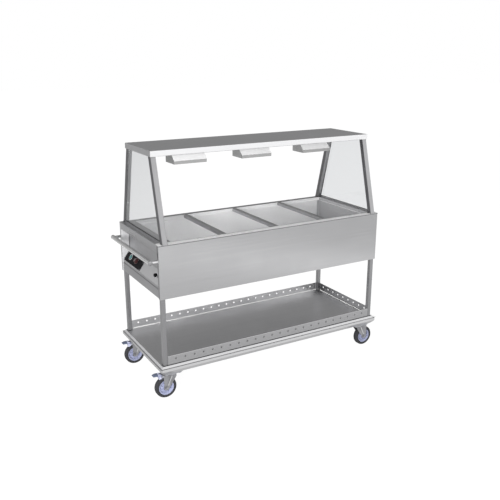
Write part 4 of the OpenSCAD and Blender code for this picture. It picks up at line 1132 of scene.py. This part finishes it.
@dataclass
class Frame:
    """The welds and screws of the legs, guards and panels."""

    leg_x: Pair = (699.5, 724.5)
    leg_y: Pair = (264.5, 289.5)
    shelf: float = 210.0
    guard: float = 288.0
    guard_end: float = 723.0
    bead: float = 2.8
    line: float = 1.5
    ledge: Point = (755.5, 303.0, 199.0)
    end_screws: tuple[float, ...] = (-250.0, -125.0, 0.0, 125.0, 250.0)
    end_screw: Pair = (730.7, 615.0)
    cover_screws: range = range(-600, 601, 200)
    cover_screw: Pair = (282.0, 600.0)
    screw: Profile = ((0, 0), (4.2, 0), (4.0, 0.9), (2.8, 1.8), (0, 2.1))

    def build(self) -> None:
        """Builds the painted highlight and shade lines, the leg welds and the screws."""
        self.painted_lines()
        self.welds()
        self.screws()

    def painted_lines(self) -> None:
        """Lays a pale bead of painted highlight inside each guard's foot, and dark lines of painted shade
        outside it and along the ledge.
        """
        # painted highlight: a pale bead stands for the bright fold at each guard's inner foot
        painted_lines = Piece("guard_painted_highlight_beads", PAINTED_HIGHLIGHT)
        z = self.shelf + self.bead + 0.1
        inset = self.bead - 0.9
        long, short = self.leg_x[0] - self.line, self.leg_y[0] - self.line
        for y in (-self.guard + inset, self.guard - inset):
            painted_lines.drum((-long, y, z), (long, y, z), self.bead, 12)
        x = self.guard_end - inset
        painted_lines.drum((x, -short, z), (x, short, z), self.bead, 12)
        # painted shade: dark strips along the tray's ledge and outside the guards' feet
        lines = Piece("tray_painted_shade_lines", SEAL_AND_SHADE)
        x, y, z = self.ledge
        lines.frame_bead((-x, -y, z), (x, y, z), 0.8, 3.0)
        top = self.shelf + 2.0
        for side in SIDES:
            low, high = on_side(side, self.leg_y[1], self.leg_y[1] + self.line)
            lines.bar((-long, low, self.shelf), (long, high, top), 0.3)
        lines.bar((self.leg_x[1], -short, self.shelf), (self.leg_x[1] + self.line, short, top), 0.3)
        finish_all(painted_lines, lines)

    def welds(self) -> None:
        """Lays a weld round each leg's foot."""
        welds = Piece("leg_welds", WELD)
        for side in SIDES:
            xs = on_side(side, *self.leg_x)
            for end in SIDES:
                ys = on_side(end, *self.leg_y)
                welds.frame_bead((xs[0], ys[0], self.shelf), (xs[1], ys[1], self.shelf), 1.5, 1.5)
        welds.done()

    def screws(self) -> None:
        """Puts the screws of the right end panel and those of the bottom cover."""
        screws = Piece("panel_screws", ZINC)
        x, z = self.end_screw
        for y in self.end_screws:
            screws.turned(self.screw, Piece.spot((x, y, z), AXIS_X), 20)
        y, z = self.cover_screw
        for x in self.cover_screws:
            for side in SIDES:
                screws.turned(self.screw, Piece.spot((x, side * y, z), (0, 0, -1)), 20)
        screws.done()


@dataclass
class Drain:
    """The lever's grip and the hose rings of the drain valve."""

    x: float = 633.0
    z: float = 562.0
    grip_y: Pair = (-39.6, -32.4)
    lever_end: float = 95.0
    ridges: int = 7

    def build(self) -> None:
        """Builds the lever's grip and the valve's rings."""
        grip = Piece("lever_grip", LEVER, "lever")
        y0, y1 = self.grip_y
        grip.bar((self.x - self.lever_end - 5, y0, self.z - 8.6), (self.x - 42, y1, self.z + 8.6), 1.5)
        for i in range(self.ridges):
            x = self.x - self.lever_end + 4 + i * 6.5
            grip.bar((x - 1.0, y0 - 0.6, self.z - 7.5), (x + 1.0, y1 + 0.6, self.z + 7.5), 0.5)
        rings = Piece("valve_rings", BRASS)
        for z in (self.z - 18, self.z + 18):
            rings.ring((self.x, 0, z), AXIS_Z, 20.0, 1.2, 44)
        finish_all(grip, rings)


@dataclass
class Castor:
    """The ribs, seals and nuts of one castor, and the treads of its pedal."""

    name: str
    side_x: int
    side_y: int
    swivel: Pair = (664.0, 245.0)
    axle: Point = (38.0, 0.0, 62.5)
    ribs: int = 8
    strip_top: Point = (5.0, 0.0, 132.0)
    strip_foot: Point = (30.5, 0.0, 77.0)
    collar: Profile = ((15.0, 5.0), (20.0, 5.0), (19.2, 15.6), (18.4, 16.4), (15.0, 16.4))
    guard: Profile = ((5.4, 16.6), (17.6, 16.6), (17.6, 17.4), (12.0, 18.3), (5.4, 18.3))
    nut: Profile = ((0, 27.0), (8.8, 27.0), (8.6, 27.8), (6.6, 28.3), (5.6, 31.0), (3.4, 32.7), (0, 33.2))
    race: Profile = ((24.2, 142.4), (27.4, 140.8), (28.4, 141.2), (28.4, 144), (27.6, 144.2), (24.2, 143.9))
    bead_radii: Pair = (49.0, 55.5)
    bead_rise: float = 15.6
    pedal_bend: Point = (98.0, 0.0, 150.0)
    pedal_slope: float = math.atan2(5.0, 15.0)
    tread_gap: float = 4.6
    tread_half: float = 12.5

    def piece(self, name: str, finish: Finish, part: str, slot: str = "") -> Piece:
        """Starts a piece that rides on one of this castor's own bodies."""
        return Piece(f"{name}_{self.name}", finish, f"{part}_{self.name}", slot)

    def place(self) -> Matrix:
        """Returns the castor's matrix, with X along its trail."""
        turn = turned_about("Z", math.pi if self.side_x < 0 else 0.0)
        return Matrix.Translation((self.side_x * self.swivel[0], self.side_y * self.swivel[1], 0)) @ turn

    def hub(self, face: int) -> Matrix:
        """Returns a matrix at the wheel's middle whose Z points out of one face."""
        return self.place() @ Matrix.Translation(self.axle) @ turned_about("X", -face * math.pi / 2)

    def build(self) -> None:
        """Builds the wheel's ribs and rings, the nuts, the pale strips of painted highlight, the seal and
        the pedal's parts.
        """
        ribs = self.piece("core_ribs", CORE, "wheel")
        beads = self.piece("tyre_beads", TYRE, "wheel")
        nuts = self.piece("axle_nuts", FORK, "swivel", ZINC.slot)
        guards = self.piece("thread_guards", GUARD, "wheel")
        # painted highlight: pale polished strips stand for the bright flange on each fork leg
        strips = self.piece("fork_painted_highlight_strips", POLISHED, "swivel")
        run = Vector(self.strip_foot) - Vector(self.strip_top)
        slope = turned_about("Y", -math.atan2(run.x, -run.z))
        strip = self.place() @ Matrix.Translation(self.strip_top) @ slope
        for face in SIDES:
            at = self.hub(face)
            for i in range(self.ribs):
                turn = at @ turned_about("Z", math.tau * (i + 0.5) / self.ribs)
                ribs.bar((13.0, -1.3, 5.0), (39.5, 1.3, 11.5), 0.5, turn)
            ends = on_side(face, 23.8, 24.4)
            strips.bar((-3.6, ends[0], -run.length), (3.6, ends[1], 0), 0.25, strip)
            ribs.turned(self.collar, at, 40)
            guards.turned(self.guard, at, 40)
            middle, out = at @ Vector((0, 0, self.bead_rise)), at.to_3x3() @ Vector(AXIS_Z)
            for radius in self.bead_radii:
                beads.ring(middle, out, radius, 0.8, 72)
            nuts.turned(self.nut, at, 28)
        seal = self.piece("swivel_seal", SEAL_AND_SHADE, "swivel")
        seal.turned(self.race, self.place(), 48)
        finish_all(ribs, beads, nuts, guards, strips, seal)
        if self.side_x < 0:
            self.pedal()

    def pedal(self) -> None:
        """Puts raised treads and a pale link on the brake pedal of a castor at the handle end."""
        treads = self.piece("pedal_treads", PAD, "pedal")
        at = self.place()
        slope = at @ Matrix.Translation(self.pedal_bend) @ turned_about("Y", self.pedal_slope)
        for i in range(3):
            for x, z, turn in ((84.0, 149.8, at), (1.6, -0.2, slope)):
                x += i * self.tread_gap
                treads.bar((x, -self.tread_half, z), (x + 2.0, self.tread_half, z + 1.4), 0.5, turn)
        link = self.piece("pedal_link", CORE, "pedal")
        for side in SIDES:
            ends = on_side(side, 14.0, 17.5)
            link.bar((62.0, ends[0], 138.5), (84.0, ends[1], 144.5), 1.2, at)
        finish_all(treads, link)


@dataclass
class CadDress:
    """The finishes of the CAD nodes that show as they are."""

    frame: dict

    def finish_for(self, node: str, slot: str) -> Finish:
        """Returns the finish of a node from its name and its slot in the record."""
        if slot == LIT_TEAL.slot:
            low, high = (Vector(c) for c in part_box(node))
            return replace(LIT_TEAL, centre=tuple((low + high) / 2))
        named = next((finish for start, finish in NODE_FINISHES.items() if node.startswith(start)), None)
        return named or SLOT_FINISHES.get(slot, SHEET)

    def build(self) -> None:
        """Gives each CAD node its material."""
        slots = {part["node"]: part["material_slot"] for part in self.frame["record"]["subparts"]}
        for name, made in self.frame["nodes"].items():
            made.data.materials.clear()
            made.data.materials.append(self.finish_for(name, slots[name]).material())
        LOG.info("dressed %d nodes", len(slots))


def main() -> None:
    """Builds the studio and the looks."""
    logging.basicConfig(level=logging.INFO)
    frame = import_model()
    castors = [Castor(f"{depth}_{end}", side_x, side_y) for side_y, depth in ((-1, "front"), (1, "rear"))
               for side_x, end in ((-1, "left"), (1, "right"))]
    for assembly in (Studio(), CadDress(frame), Console(Fascia()), Handle(), Well(), Gantry(), Lamps(),
                     Frame(), Drain(), *castors):
        assembly.build()


if __name__ == "__main__":
    main()
